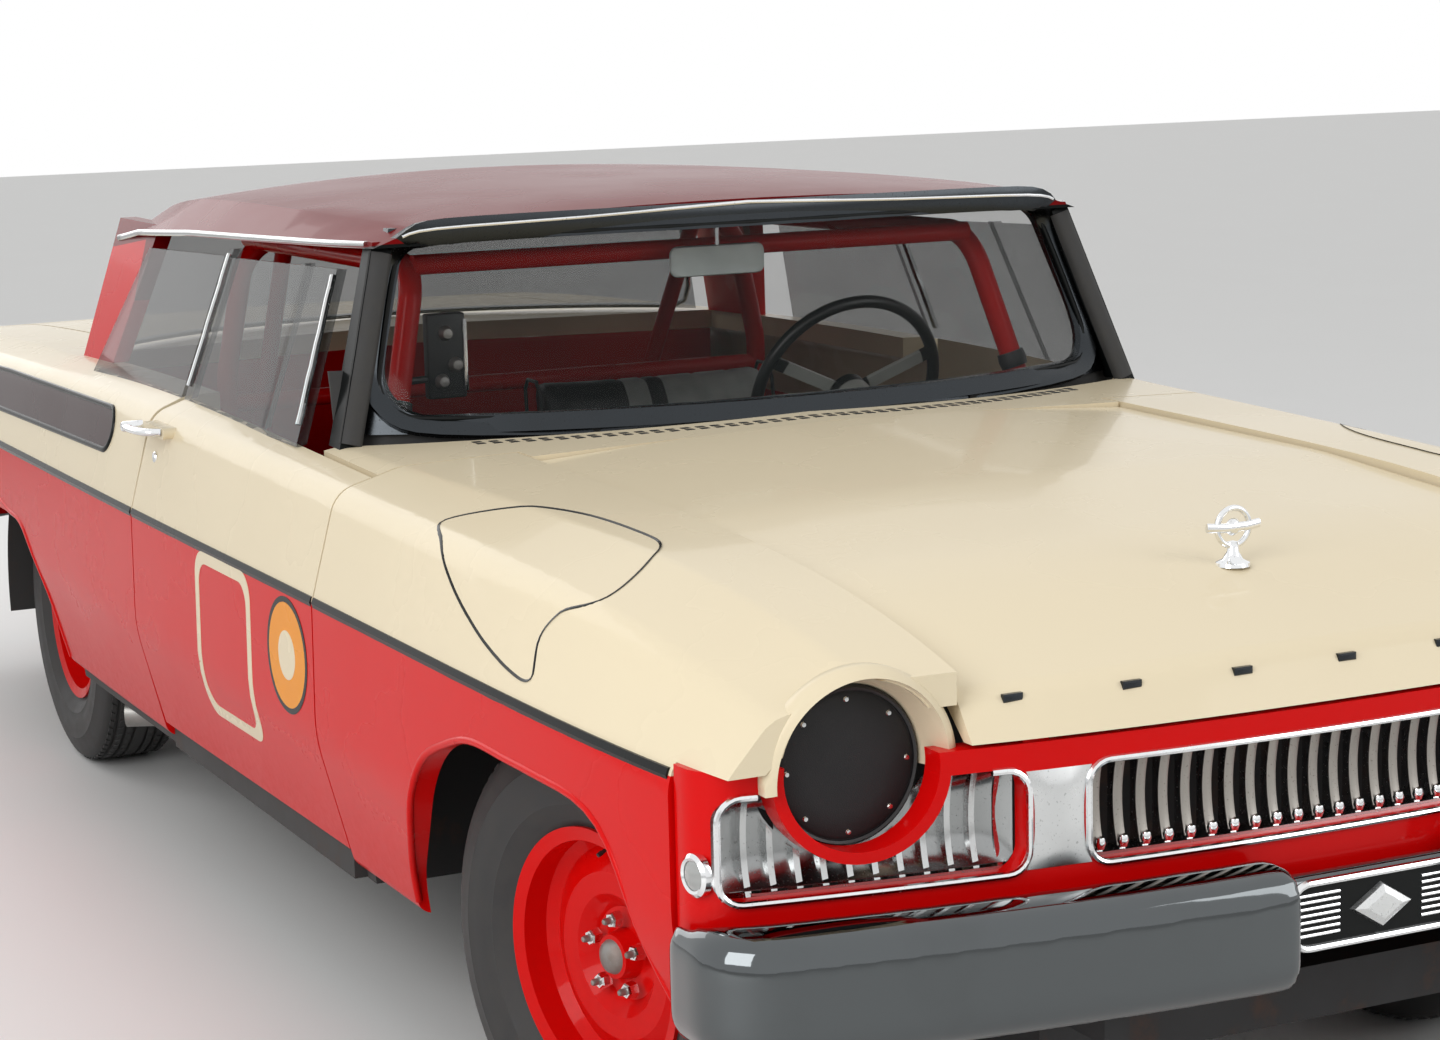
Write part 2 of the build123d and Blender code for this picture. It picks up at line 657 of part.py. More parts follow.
with BuildPart() as floor:
    with BuildSketch(Plane.XZ.offset(-TUB_Y)):
        with BuildLine():
            Polyline(
                (FIREWALL_X, FLOOR_Z),
                (-900, FLOOR_Z),
                (-980, KICK_Z),
                (-1700, KICK_Z),
                (-1760, BOOT_Z),
                (TAIL_X + 50, BOOT_Z),
                (TAIL_X + 50, BOOT_Z + FLOOR_T),
                (-1772, BOOT_Z + FLOOR_T),
                (-1712, KICK_Z + FLOOR_T),
                (-965, KICK_Z + FLOOR_T),
                (-885, FLOOR_Z + FLOOR_T),
                (FIREWALL_X, FLOOR_Z + FLOOR_T),
                close=True,
            )
        make_face()
    extrude(amount=2 * TUB_Y)
    # Wide front part, with sills below the doors
    with BuildSketch(Plane.YZ.offset(-880)):
        with Locations((0, FLOOR_Z + FLOOR_T / 2)):
            Rectangle(2 * SILL_Y, FLOOR_T)
    extrude(amount=FIREWALL_X + 880)
    for side in (1, -1):
        with BuildSketch(Plane.YZ.offset(DOOR_REAR_X)):
            with Locations((side * (SILL_Y + 36), (FLOOR_Z + DOOR_Z - GAP) / 2)):
                Rectangle(76, DOOR_Z - GAP - FLOOR_Z)
        extrude(amount=DOOR_FRONT_X - DOOR_REAR_X)
        # Rubber stops below the door
        for x in (DOOR_REAR_X + 160, DOOR_FRONT_X - 110):
            with Locations((x, side * 900, DOOR_Z - GAP + (GAP - SEAT) / 2 - 1)):
                Box(40, 30, GAP - SEAT + 2)
    add(sill_ends.part)
    # Tunnel over the gearbox and shaft
    with BuildSketch(Plane.YZ.offset(-1000)):
        with Locations((0, (FLOOR_Z + TUNNEL_Z) / 2)):
            Rectangle(2 * TUNNEL_Y, TUNNEL_Z - FLOOR_Z)
    extrude(amount=FIREWALL_X + 1000)
    with BuildSketch(Plane.YZ.offset(-1020)):
        with Locations((0, (FLOOR_Z + TUNNEL_Z) / 2 - 12)):
            Rectangle(2 * TUNNEL_Y - 24, TUNNEL_Z - FLOOR_Z)
    extrude(amount=FIREWALL_X + 1030, mode=Mode.SUBTRACT)
    # Wheel tubs
    for side in (1, -1):
        with BuildSketch(Plane.XZ.offset(-side * (TUB_Y + 10))):
            with BuildLine():
                Polyline(
                    (-866, FLOOR_Z),
                    (-981, 770),
                    (-1650, 770),
                    (-1800, BOOT_Z),
                    (-1755, BOOT_Z),
                    (-1695, KICK_Z + 5),
                    (-985, KICK_Z + 5),
                    (-905, FLOOR_Z),
                    close=True,
                )
            make_face()
        extrude(amount=10, both=True)
        with BuildSketch(Plane.XY.offset(758)):
            with Locations((-1325, side * 740)):
                Rectangle(650, 360)
        extrude(amount=12)
keep(floor.part, "floor")

with BuildPart() as firewall:
    with BuildSketch(Plane.YZ.offset(FIREWALL_X)):
        with BuildLine():
            Polyline((-860, FLOOR_Z), (860, FLOOR_Z), (860, 780), (590, COWL_LOW_Z), (-590, COWL_LOW_Z), (-860, 780), close=True)
        make_face()
    extrude(amount=12)
    with BuildSketch(Plane.YZ.offset(FIREWALL_X - 1)):
        Rectangle(2 * TUNNEL_Y - 24, 2 * TUNNEL_Z - 24)
    extrude(amount=20, mode=Mode.SUBTRACT)
keep(firewall.part, "firewall")

# Bulkhead between the cabin and the boot
with BuildPart() as bulkhead:
    with BuildSketch(Plane.YZ.offset(BULKHEAD_X)):
        with BuildLine():
            Polyline((-790, 772), (-558, 772), (-558, KICK_Z + FLOOR_T + SEAT), (558, KICK_Z + FLOOR_T + SEAT), (558, 772), (790, 772))
            Polyline((790, 772), (790, 1040), (-790, 1040), (-790, 772))
        make_face()
    extrude(amount=12)
    add(INNER_BOTH.moved(Location((0, 0, -SEAT))), mode=Mode.INTERSECT)
keep(bulkhead.part, "rear_bulkhead")

# Aprons beside the engine, up to the fenders
APRON_Y = 425
with BuildPart() as apron:
    with BuildSketch(Plane.YZ.offset(FIREWALL_X + 12)):
        with BuildLine():
            Polyline(
                (APRON_Y, 392),
                (APRON_Y + 10, 392),
                (APRON_Y + 10, 745),
                (618, 745),
                (618, 1060),
                (608, 1060),
                (608, 757),
                (APRON_Y, 757),
                close=True,
            )
        make_face()
    extrude(amount=2330 - FIREWALL_X - 12)
    with Locations((FRONT_AXLE_X, APRON_Y, 400)):
        Box(190, 60, 200, mode=Mode.SUBTRACT)
    add(INNER.moved(Location((0, 0, -SEAT))), mode=Mode.INTERSECT)
with BuildPart() as aprons:
    add(apron.part)
    mirror(apron.part, about=Plane.XZ)
    with BuildSketch(Plane.YZ.offset(2330)):
        with Locations((0, 620)):
            Rectangle(2 * 618, 460)
        with Locations((0, 610)):
            Rectangle(640, 380, mode=Mode.SUBTRACT)
    extrude(amount=14)
keep(aprons.part, "engine_bay")

with BuildPart() as radiator:
    with Locations((2330 - SEAT - 29, 0, 625)):
        Box(58, 660, 376)
keep(radiator.part, "radiator")

# Chassis frame: two rails and their cross members
RAIL_Y = 395
RAIL_W = 80
FRONT_BRACKET_X = BUMPER_FRONT_X + 3 - BUMPER_T - 415**2 / (2 * NOSE_ARC_R) - SEAT
REAR_BRACKET_X = BUMPER_REAR_X + REAR_BUMPER_T + 415**2 / (2 * REAR_ARC_R) + SEAT
with BuildPart() as chassis:
    for side in (1, -1):
        with BuildSketch(Plane.XZ.offset(-side * RAIL_Y)):
            with BuildLine():
                rail = [
                    (2440, 302),
                    (1240, 302),
                    (1080, 198),
                    (-860, 198),
                    (-1020, 446),
                    (-1700, 446),
                    (-1820, 338),
                    (TAIL_X + 60, 338),
                    (TAIL_X + 60, 428),
                    (-1750, 428),
                    (-1650, 536),
                    (-1060, 536),
                    (-910, 296),
                    (1066, 296),
                    (1220, 390),
                    (2440, 390),
                ]
                Polyline(*rail, close=True)
            make_face()
        extrude(amount=RAIL_W / 2, both=True)
    # Bumper brackets
    for side in (1, -1):
        with Locations((2478, side * RAIL_Y, 428)):
            Box(2 * (FRONT_BRACKET_X - 2478), 40, 84)
        with Locations(((TAIL_X + 80 + REAR_BRACKET_X) / 2, side * RAIL_Y, 415)):
            Box(TAIL_X + 80 - REAR_BRACKET_X, 40, 26)
    for x, z, depth, height in ((2400, 346, 70, 80), (600, 232, 60, 60), (-700, 232, 60, 60), (-2440, 383, 60, 80)):
        with Locations((x, 0, z)):
            Box(depth, 2 * RAIL_Y, height)
    with Locations((600, 0, 262)):
        Box(60, 80, 2 * (22 - SEAT))
keep(chassis.part, "chassis_frame")

# Engine as one block, with its air cleaner, gearbox and shaft
ENGINE_X = 1530
SHAFT_Z = 372
with BuildPart() as engine:
    with BuildSketch(Plane.YZ.offset(1180)):
        with BuildLine():
            FilletPolyline((-190, 262), (190, 262), (265, 640), (150, 750), (-150, 750), (-265, 640), radius=30, close=True)
        make_face()
    extrude(amount=700)
    with BuildSketch(Plane.XY.offset(750)):
        with Locations((ENGINE_X, 0)):
            Circle(60)
    extrude(amount=70)
    with BuildSketch(Plane.XY.offset(820)):
        with Locations((ENGINE_X, 0)):
            Circle(190)
    extrude(amount=80)
    with BuildSketch(Plane.YZ.offset(560)):
        with Locations((0, SHAFT_Z)):
            Circle(88)
    extrude(amount=620)
    with BuildSketch(Plane.YZ.offset(REAR_AXLE_X + 135)):
        with Locations((0, SHAFT_Z - 10)):
            Circle(38)
    extrude(amount=560 - REAR_AXLE_X - 135)
keep(engine.part, "engine")

# Front suspension: cross member with lower and upper arms
with BuildPart() as suspension:
    with Locations((FRONT_AXLE_X, 0, 222)):
        Box(190, 700, 60)
    with Locations((FRONT_AXLE_X, 0, 256)):
        Box(120, 200, 2 * (6 - SEAT))
    for side in (1, -1):
        with Locations((FRONT_AXLE_X, side * 395, 276)):
            Box(150, 70, 2 * (26 - SEAT))
        with Locations((FRONT_AXLE_X, side * 395, 432)):
            Box(150, 56, 2 * (42 - SEAT))
        for z in (196, 470):
            with BuildSketch(Plane.XY.offset(z)):
                with BuildLine():
                    Polyline(
                        (FRONT_AXLE_X - 85, side * 345),
                        (FRONT_AXLE_X + 85, side * 345),
                        (FRONT_AXLE_X + 85, side * 430),
                        (FRONT_AXLE_X + 24, side * (KINGPIN_Y + 8)),
                        (FRONT_AXLE_X - 24, side * (KINGPIN_Y + 8)),
                        (FRONT_AXLE_X - 85, side * 430),
                        close=True,
                    )
                make_face()
            extrude(amount=24)
keep(suspension.part, "front_suspension")

# Rear axle with leaf springs and their hangers
SPRING_Y = 520
DRUM_R = 148
SPINDLE_R = 18
AXLE_TUBE_R = 42
with BuildPart() as axle:
    with BuildSketch(Plane.XZ.offset(-(WHEEL_Y - 90))):
        with Locations((REAR_AXLE_X, HUB_Z)):
            Circle(AXLE_TUBE_R)
    extrude(amount=2 * (WHEEL_Y - 90))
    with BuildSketch(Plane.XZ.offset(-110)):
        with Locations((REAR_AXLE_X, HUB_Z)):
            Circle(132)
    extrude(amount=220)
    for side in (1, -1):
        with BuildSketch(Plane.XZ.offset(-side * SPRING_Y)):
            with BuildLine():
                ThreePointArc((-700, 258), (REAR_AXLE_X, 262), (-2000, 318))
                Line((-2000, 318), (-2000, 346))
                ThreePointArc((-2000, 346), (REAR_AXLE_X, 298), (-700, 284))
                Line((-700, 284), (-700, 258))
            make_face()
        extrude(amount=30, both=True)
        with Locations((REAR_AXLE_X, side * SPRING_Y, 312)):
            Box(110, 60, 30)
        with Locations((-720, side * (495 + SEAT), 275)):
            Box(50, 120, 49)
        with Locations((-1990, side * (495 + SEAT), 370)):
            Box(40, 120, 90)
        # Backing plate and shaft end
        with BuildSketch(Plane.XZ.offset(-side * (WHEEL_Y - 79))):
            with Locations((REAR_AXLE_X, HUB_Z)):
                Circle(DRUM_R + 6)
        extrude(amount=side * 8)
        with BuildSketch(Plane.XZ.offset(-side * WHEEL_Y)):
            with Locations((REAR_AXLE_X, HUB_Z)):
                Circle(SPINDLE_R)
        extrude(amount=side * 100)
keep(axle.part, "rear_axle")

# Knuckles, drums and wheels. A wheel's plane has its axle along local Y.
SPINDLE_PLAY = 0.05
DISC_OUT = 20


def wheel_plane(x, y, turn, side):
    """The plane of a wheel's half section, its local X up and local Y outwards along the axle."""
    outwards = Vector(0, side, 0).rotate(Axis.Z, turn)
    up = Vector(0, 0, 1)
    return Plane(origin=(x, y, HUB_Z), x_dir=up, z_dir=up.cross(outwards))


def wheel_places():
    """Name, plane and whether it steers, for each wheel."""
    places = []
    for side, name in ((1, "left"), (-1, "right")):
        reach = Vector(0, side * (WHEEL_Y - KINGPIN_Y), 0).rotate(Axis.Z, STEER_REST)
        front = (FRONT_AXLE_X + reach.X, side * KINGPIN_Y + reach.Y)
        places.append((f"front_{name}", wheel_plane(*front, STEER_REST, side), True))
        places.append((f"rear_{name}", wheel_plane(REAR_AXLE_X, side * WHEEL_Y, 0, side), False))
    return places


def axle_line(plane):
    return Axis(plane.origin, plane.y_dir)


def tyre_part(plane):
    """A tyre, open inside, round the rim."""
    half = TYRE_W / 2
    with BuildPart() as tyre:
        with BuildSketch(plane):
            with BuildLine():
                outer = [
                    (RIM_R - 12.7, RIM_W / 2 - 9),
                    (RIM_R + 6, RIM_W / 2 - 8),
                    (280, half),
                    (TYRE_R - 12, half - 18),
                    (TYRE_R, half - 40),
                    (TYRE_R, 40 - half),
                    (TYRE_R - 12, 18 - half),
                    (280, -half),
                    (RIM_R + 6, 8 - RIM_W / 2),
                    (RIM_R - 12.7, 9 - RIM_W / 2),
                ]
                inner = [
                    (RIM_R - 12.7, 24 - RIM_W / 2),
                    (270, 14 - half),
                    (TYRE_R - 22, 34 - half),
                    (TYRE_R - 22, half - 34),
                    (270, half - 14),
                    (RIM_R - 12.7, RIM_W / 2 - 24),
                ]
                Polyline(*outer, *inner, close=True)
            make_face()
        revolve(axis=axle_line(plane))
    return tyre.part


def rim_part(plane):
    """A pressed steel rim and disc, with the brake drum behind it."""
    half = RIM_W / 2
    with BuildPart() as rim:
        with BuildSketch(plane):
            with BuildLine():
                Polyline(
                    (RIM_R, half),
                    (RIM_R, half - 7),
                    (RIM_R - 13, half - 9),
                    (RIM_R - 13, 34),
                    (172, 24),
                    (172, -40),
                    (RIM_R - 13, -52),
                    (RIM_R - 13, 9 - half),
                    (RIM_R, 7 - half),
                    (RIM_R, -half),
                    (RIM_R - 22, 6 - half),
                    (RIM_R - 22, -57),
                    (165, -46),
                    (165, 14),
                    (128, 36),
                    (100, 34),
                    (76, 10),
                    (DRUM_R - 10, 10),
                    (DRUM_R, 0),
                    (DRUM_R, -72),
                    (SPINDLE_R + SPINDLE_PLAY, -72),
                    (SPINDLE_R + SPINDLE_PLAY, 2),
                    (0, 2),
                    (0, 52),
                    (34, 48),
                    (40, DISC_OUT),
                    (72, DISC_OUT),
                    (96, 42),
                    (130, 44),
                    (168, 24),
                    (RIM_R - 22, 38),
                    (RIM_R - 22, half - 6),
                    close=True,
                )
            make_face()
        revolve(axis=axle_line(plane))
    return rim.part


def knuckle_part(plane, side):
    """Upright, backing plate and spindle of a steered wheel."""
    with BuildPart() as knuckle:
        with BuildSketch(plane):
            with BuildLine():
                Polyline(
                    (0, KINGPIN_Y - WHEEL_Y),
                    (0, 0),
                    (SPINDLE_R, 0),
                    (SPINDLE_R, -76),
                    (DRUM_R + 6, -76),
                    (DRUM_R + 6, -82),
                    (44, -82),
                    (30, KINGPIN_Y - WHEEL_Y),
                    close=True,
                )
            make_face()
        revolve(axis=axle_line(plane))
        with BuildSketch(Plane.XY.offset(220 + SEAT)):
            with Locations((FRONT_AXLE_X, side * KINGPIN_Y)):
                Circle(22)
        extrude(amount=250 - 2 * SEAT)
    return knuckle.part


for name, plane, steers in wheel_places():
    keep(tyre_part(plane), f"tyre_{name}")
    keep(rim_part(plane), f"rim_{name}")
    if steers:
        keep(knuckle_part(plane, 1 if "left" in name else -1), name.replace("front", "knuckle"))

# Driver's seat, a cushion and a back on a frame
SEAT_Y = 314
with BuildPart() as seat:
    with BuildSketch(Plane.XZ.offset(-(SEAT_Y + 300))):
        with BuildLine():
            FilletPolyline(
                (140, 400),
                (140, 520),
                (-300, 500),
                (-385, 965),
                (-490, 965),
                (-430, 400),
                radius=[40, 40, 40, 40, 40, 30],
                close=True,
            )
        make_face()
    extrude(amount=600)
    # The cushion clears the tunnel.
    with Locations((0, 0, TUNNEL_Z - 140)):
        Box(1200, 2 * TUNNEL_Y + 20, 300, mode=Mode.SUBTRACT)
keep(seat.part, "driver_seat")

with BuildPart() as seat_frame:
    for y in (TUNNEL_Y + 34, SEAT_Y + 240):
        for x in (-300, 60):
            with Locations((x, y, 360)):
                Box(40, 40, 79)
        with Locations((-130, y, 390)):
            Box(480, 40, 19)
keep(seat_frame.part, "seat_frame")

# Steering column and wheel. The wheel turns about the column's line.
WHEEL_CENTRE = (372, 390, 985)
COLUMN_TILT = 22
STEERING_R = 205
column_dir = Vector(-1, 0, 0).rotate(Axis.Y, COLUMN_TILT)
wheel_face = Plane(origin=WHEEL_CENTRE, x_dir=(0, 1, 0), z_dir=column_dir)
with BuildPart() as column:
    with BuildSketch(wheel_face.offset(-62)):
        Circle(24)
    extrude(amount=-610)
    with BuildSketch(Plane.YZ.offset(FIREWALL_X - 0.3)):
        Rectangle(2000, 3000)
    extrude(amount=400, mode=Mode.SUBTRACT)
keep(column.part, "steering_column")

# Dashboard across the cabin
DASH_Y = 655
with BuildPart() as dashboard:
    with BuildSketch(Plane.XZ.offset(-DASH_Y)):
        with BuildLine():
            FilletPolyline((560, 780), (545, 900), (600, 985), (880, 975), (880, 860), (640, 780), radius=25, close=True)
        make_face()
    extrude(amount=2 * DASH_Y)
    add(BOTH, mode=Mode.INTERSECT)
    add(cowl.part, mode=Mode.SUBTRACT)
    add(column.part, mode=Mode.SUBTRACT)
keep(dashboard.part, "dashboard")

with BuildPart() as steering_wheel:
    with BuildSketch(Plane(origin=WHEEL_CENTRE, x_dir=(0, 1, 0), z_dir=Vector(0, 1, 0).cross(column_dir))):
        with Locations((STEERING_R, 0)):
            Circle(13)
    revolve(axis=Axis(WHEEL_CENTRE, column_dir))
    with BuildSketch(wheel_face.offset(-62 + SEAT)):
        Circle(42)
    extrude(amount=56)
    for turn in (205, 335, 90):
        with BuildSketch(wheel_face.offset(-16)):
            with PolarLocations(0, 1, turn):
                with Locations((STEERING_R / 2, 0)):
                    Rectangle(STEERING_R - 8, 26)
        extrude(amount=10)
keep(steering_wheel.part, "steering_wheel")

# Roll cage of bent tubes
TUBE_R = 22
CAGE_TOP_Z = 1300
CAGE_FOOT_Z = FLOOR_Z + FLOOR_T + SEAT


def tube(points, bend_r, tube_r=TUBE_R):
    """A round tube along straight runs joined by arcs."""
    with BuildPart() as run:
        with BuildLine() as path:
            if len(points) == 2:
                Line(*points)
            else:
                FilletPolyline(*points, radius=bend_r)
        with BuildSketch(Plane(origin=path.line @ 0, z_dir=path.line % 0)):
            Circle(tube_r)
        sweep(path=path.line)
    return run.part


HOOP_X = -560
with BuildPart() as cage:
    add(
        tube(
            [
                (HOOP_X, 650, CAGE_FOOT_Z),
                (HOOP_X, 650, 1000),
                (HOOP_X, 590, CAGE_TOP_Z),
                (HOOP_X, -590, CAGE_TOP_Z),
                (HOOP_X, -650, 1000),
                (HOOP_X, -650, CAGE_FOOT_Z),
            ],
            [200, 110, 110, 200],
        )
    )
    for side in (1, -1):
        add(
            tube(
                [
                    (600, side * 690, CAGE_FOOT_Z),
                    (600, side * 690, 960),
                    (520, side * 600, CAGE_TOP_Z + 12),
                    (HOOP_X, side * 580, CAGE_TOP_Z),
                ],
                [200, 90],
            )
        )
        add(tube([(HOOP_X, side * 500, CAGE_TOP_Z), (-1040, side * 480, KICK_Z + FLOOR_T + 20)], 0, 19))
        with Locations((-1040, side * 480, KICK_Z + FLOOR_T + 13)):
            Box(70, 70, 2 * (13 - SEAT))
        add(tube([(HOOP_X, side * 650, 640), (600, side * 690, 640)], 0, 19))
    add(tube([(512, -600, CAGE_TOP_Z + 12), (512, 600, CAGE_TOP_Z + 12)], 0, 19))
    add(tube([(HOOP_X, -645, 940), (HOOP_X, 645, 940)], 0, 19))
keep(cage.part, "roll_cage")

# Exhaust pipes that leave below the sills ahead of the rear wheels
with BuildPart() as exhaust:
    for side in (1, -1):
        pipe = [
            (1150, side * (APRON_Y + 10 + SEAT), 560),
            (1150, side * 530, 560),
            (1150, side * 530, 262),
            (-440, side * 530, 262),
            (-620, side * 900, 262),
        ]
        add(tube(pipe, [46, 90, 150], 31))
        for x in (-300, 500):
            with Locations((x, side * 530, 285)):
                Box(16, 30, 2 * (15 - SEAT))
keep(exhaust.part, "exhaust")

# Fuel tank below the boot floor
with BuildPart() as tank:
    with BuildSketch(Plane.XY.offset(250)):
        with Locations((-2160, 0)):
            RectangleRounded(480, 680, 50)
    extrude(amount=BOOT_Z - SEAT - 250)
keep(tank.part, "fuel_tank")

# Inside mirror on its stem
with BuildPart() as mirror_piece:
    with BuildSketch(Plane.YZ.offset(575)):
        with Locations((0, 1292)):
            RectangleRounded(200, 58, 18)
    extrude(amount=16)
    with BuildSketch(Plane.XY.offset(1318)):
        with Locations((584, 0)):
            Circle(5)
    extrude(amount=120)
    add(roof_all.part, mode=Mode.SUBTRACT)
keep(mirror_piece.part, "mirror")
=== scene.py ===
"""A 1950s stock car: paint, chrome, glass, tyres, cabin and small trim round its CAD frame."""

import json
import math

import bmesh
import bpy
import numpy as np
from bpy.props import FloatProperty, FloatVectorProperty, IntProperty, PointerProperty
from mathutils import Matrix, Vector
from mathutils.bvhtree import BVHTree


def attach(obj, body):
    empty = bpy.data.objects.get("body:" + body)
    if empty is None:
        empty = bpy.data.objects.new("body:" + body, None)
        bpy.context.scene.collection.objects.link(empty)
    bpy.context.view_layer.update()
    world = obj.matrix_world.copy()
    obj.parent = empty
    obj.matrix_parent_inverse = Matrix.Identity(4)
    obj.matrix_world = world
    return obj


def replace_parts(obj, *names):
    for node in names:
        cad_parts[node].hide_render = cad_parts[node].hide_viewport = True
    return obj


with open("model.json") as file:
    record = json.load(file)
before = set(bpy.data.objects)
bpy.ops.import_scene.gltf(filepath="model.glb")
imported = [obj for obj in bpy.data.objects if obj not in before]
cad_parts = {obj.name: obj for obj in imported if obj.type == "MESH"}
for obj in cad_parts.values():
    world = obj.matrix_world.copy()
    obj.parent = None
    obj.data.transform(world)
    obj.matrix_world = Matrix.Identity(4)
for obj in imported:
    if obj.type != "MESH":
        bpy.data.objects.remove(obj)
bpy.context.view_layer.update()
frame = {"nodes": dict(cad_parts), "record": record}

bl_info = {
    "name": "Stock car dressing",
    "version": (1, 0, 0),
    "blender": (4, 5, 0),
    "location": "View3D > Sidebar > Stock car",
    "description": "Builds the finishes and small pieces of a 1950s stock car",
    "category": "Object",
}

BODY_OF = {node: body for body, nodes in frame["record"]["behaviour"]["bodies"].items() for node in nodes}
SIDES = ((-1, "right"), (1, "left"))
AHEAD, ACROSS, ABOVE = Vector((1, 0, 0)), Vector((0, 1, 0)), Vector((0, 0, 1))
BACK, DOWN = Vector((-1, 0, 0)), Vector((0, 0, -1))

# Places that several pieces share, in metres
FRONT_AXLE, REAR_AXLE, HUB_HEIGHT = 1.771, -1.328, 0.36
WHEEL_DISC_OUT = 0.034
NOSE_RADIUS = 4.66
BAR_PITCH = 0.035
LAMP_ACROSS, LAMP_HEIGHT = 0.746, 0.796
STEERING_CENTRE = (0.372, 0.390, 0.985)


def rgb(red, green, blue):
    """A colour as shaders want it, from the 0 to 255 values of a colour card."""
    return tuple(((c / 255 + 0.055) / 1.055) ** 2.4 if c > 10 else c / 3295 for c in (red, green, blue))


def shade(name, description, *card):
    """A colour that a user may change."""
    return FloatVectorProperty(name=name, description=description, subtype="COLOR", default=rgb(*card))


def length(name, description, default):
    """A size in metres that a user may change."""
    return FloatProperty(name=name, description=description, default=default, unit="LENGTH")


def number(name, description, default, least):
    """A count that a user may change."""
    return IntProperty(name=name, description=description, default=default, min=least)


class CarPaint(bpy.types.PropertyGroup):
    """Colours of the painted panels."""

    cream: shade("Cream", "Hood, upper sides and brows", 230, 216, 186)
    red: shade("Red", "Sides below the moulding and the nose", 212, 6, 6)
    # The roof's darker red is painted shade on the roof's top, over the body's red.
    roof: shade("Roof red with painted shade", "Roof and its pillars", 116, 4, 6)
    cage: shade("Cage red", "Roll cage and bulkhead", 204, 8, 6)
    steel_wheel: shade("Wheel red", "Steel wheels", 216, 8, 6)
    badge: shade("Badge orange", "Blank oval on each door", 238, 150, 24)


class CarTrim(bpy.types.PropertyGroup):
    """Sizes of the body's trim."""

    moulding_z: length("Moulding height", "Middle of the side moulding", 0.794)
    moulding_width: length("Moulding width", "Height of the strip itself", 0.020)
    panel_size: length("Door panel", "Height of the blank number panel on each door", 0.32)
    vent_slots: number("Cowl slots", "Slots of the air inlet along the screen", 46, 4)
    lamp_screws: number("Lamp screws", "Screws round each lamp cover", 8, 3)


class CarWheels(bpy.types.PropertyGroup):
    """Sizes and counts of the wheels' small pieces."""

    tread_blocks: number("Tread blocks", "Blocks round one rib of a tyre", 84, 12)
    lug_nuts: number("Lug nuts", "Nuts that hold a wheel", 5, 3)
    nut_circle: length("Nut circle", "Radius of the circle of nuts", 0.0571)
    nut_size: length("Nut size", "Radius of a nut over its corners", 0.0125)


class CarCabin(bpy.types.PropertyGroup):
    """The seat's padding."""

    seat_fill: FloatProperty(
        name="Seat fill", description="How tightly the seat is stuffed", default=0.75, min=0, max=1, subtype="FACTOR"
    )
    cloth_frames: number("Padding frames", "Steps for which the padding settles", 18, 1)


# Shader maths


def sum_of(operation, swap=False):
    """A method of Wire that adds one Math node to its tree."""

    def method(self, *others):
        values = (*others, self) if swap else (self, *others)
        return self.tree.node("ShaderNodeMath", {"operation": operation}, values)

    return method


class Wire:
    """A number or colour that runs through a tree, so patterns read as plain sums."""

    def __init__(self, tree, socket):
        self.tree = tree
        self.socket = socket

    __add__ = __radd__ = sum_of("ADD")
    __sub__ = sum_of("SUBTRACT")
    __rsub__ = sum_of("SUBTRACT", swap=True)
    __mul__ = __rmul__ = sum_of("MULTIPLY")
    bigger = sum_of("MAXIMUM")
    smaller = sum_of("MINIMUM")
    wave = sum_of("SINE")

    def ramp(self, start, end, low=0.0, high=1.0):
        """A soft step that runs from low to high between start and end."""
        return self.tree.node("ShaderNodeMapRange", {"interpolation_type": "SMOOTHSTEP"}, (self, start, end, low, high))

    def above(self, edge, blur=0.002):
        """1 where the value is above edge, 0 below."""
        return self.ramp(edge - blur, edge + blur)

    def between(self, low, high):
        return self.above(low) * (1 - self.above(high))


class Tree:
    """A tree of nodes, added by their type, settings and sockets."""

    def __init__(self, tree):
        self.tree = tree

    def feed(self, socket, value):
        """Gives a socket a wire or a plain value."""
        if isinstance(value, Wire):
            self.tree.links.new(value.socket, socket)
        else:
            socket.default_value = value

    def node(self, kind, settings=None, sockets=(), out=0):
        """Adds a node: its settings first, then its sockets by place or name."""
        node = self.tree.nodes.new(kind)
        for key, value in (settings or {}).items():
            setattr(node, key, value)
        for key, value in sockets.items() if isinstance(sockets, dict) else enumerate(sockets):
            self.feed(node.inputs[key], value)
        return Wire(self, node.outputs[out]) if node.outputs else None

    def split(self, vector):
        """The X, Y and Z wires of a vector."""
        node = self.node("ShaderNodeSeparateXYZ", {}, (vector,)).socket.node
        return [Wire(self, socket) for socket in node.outputs]


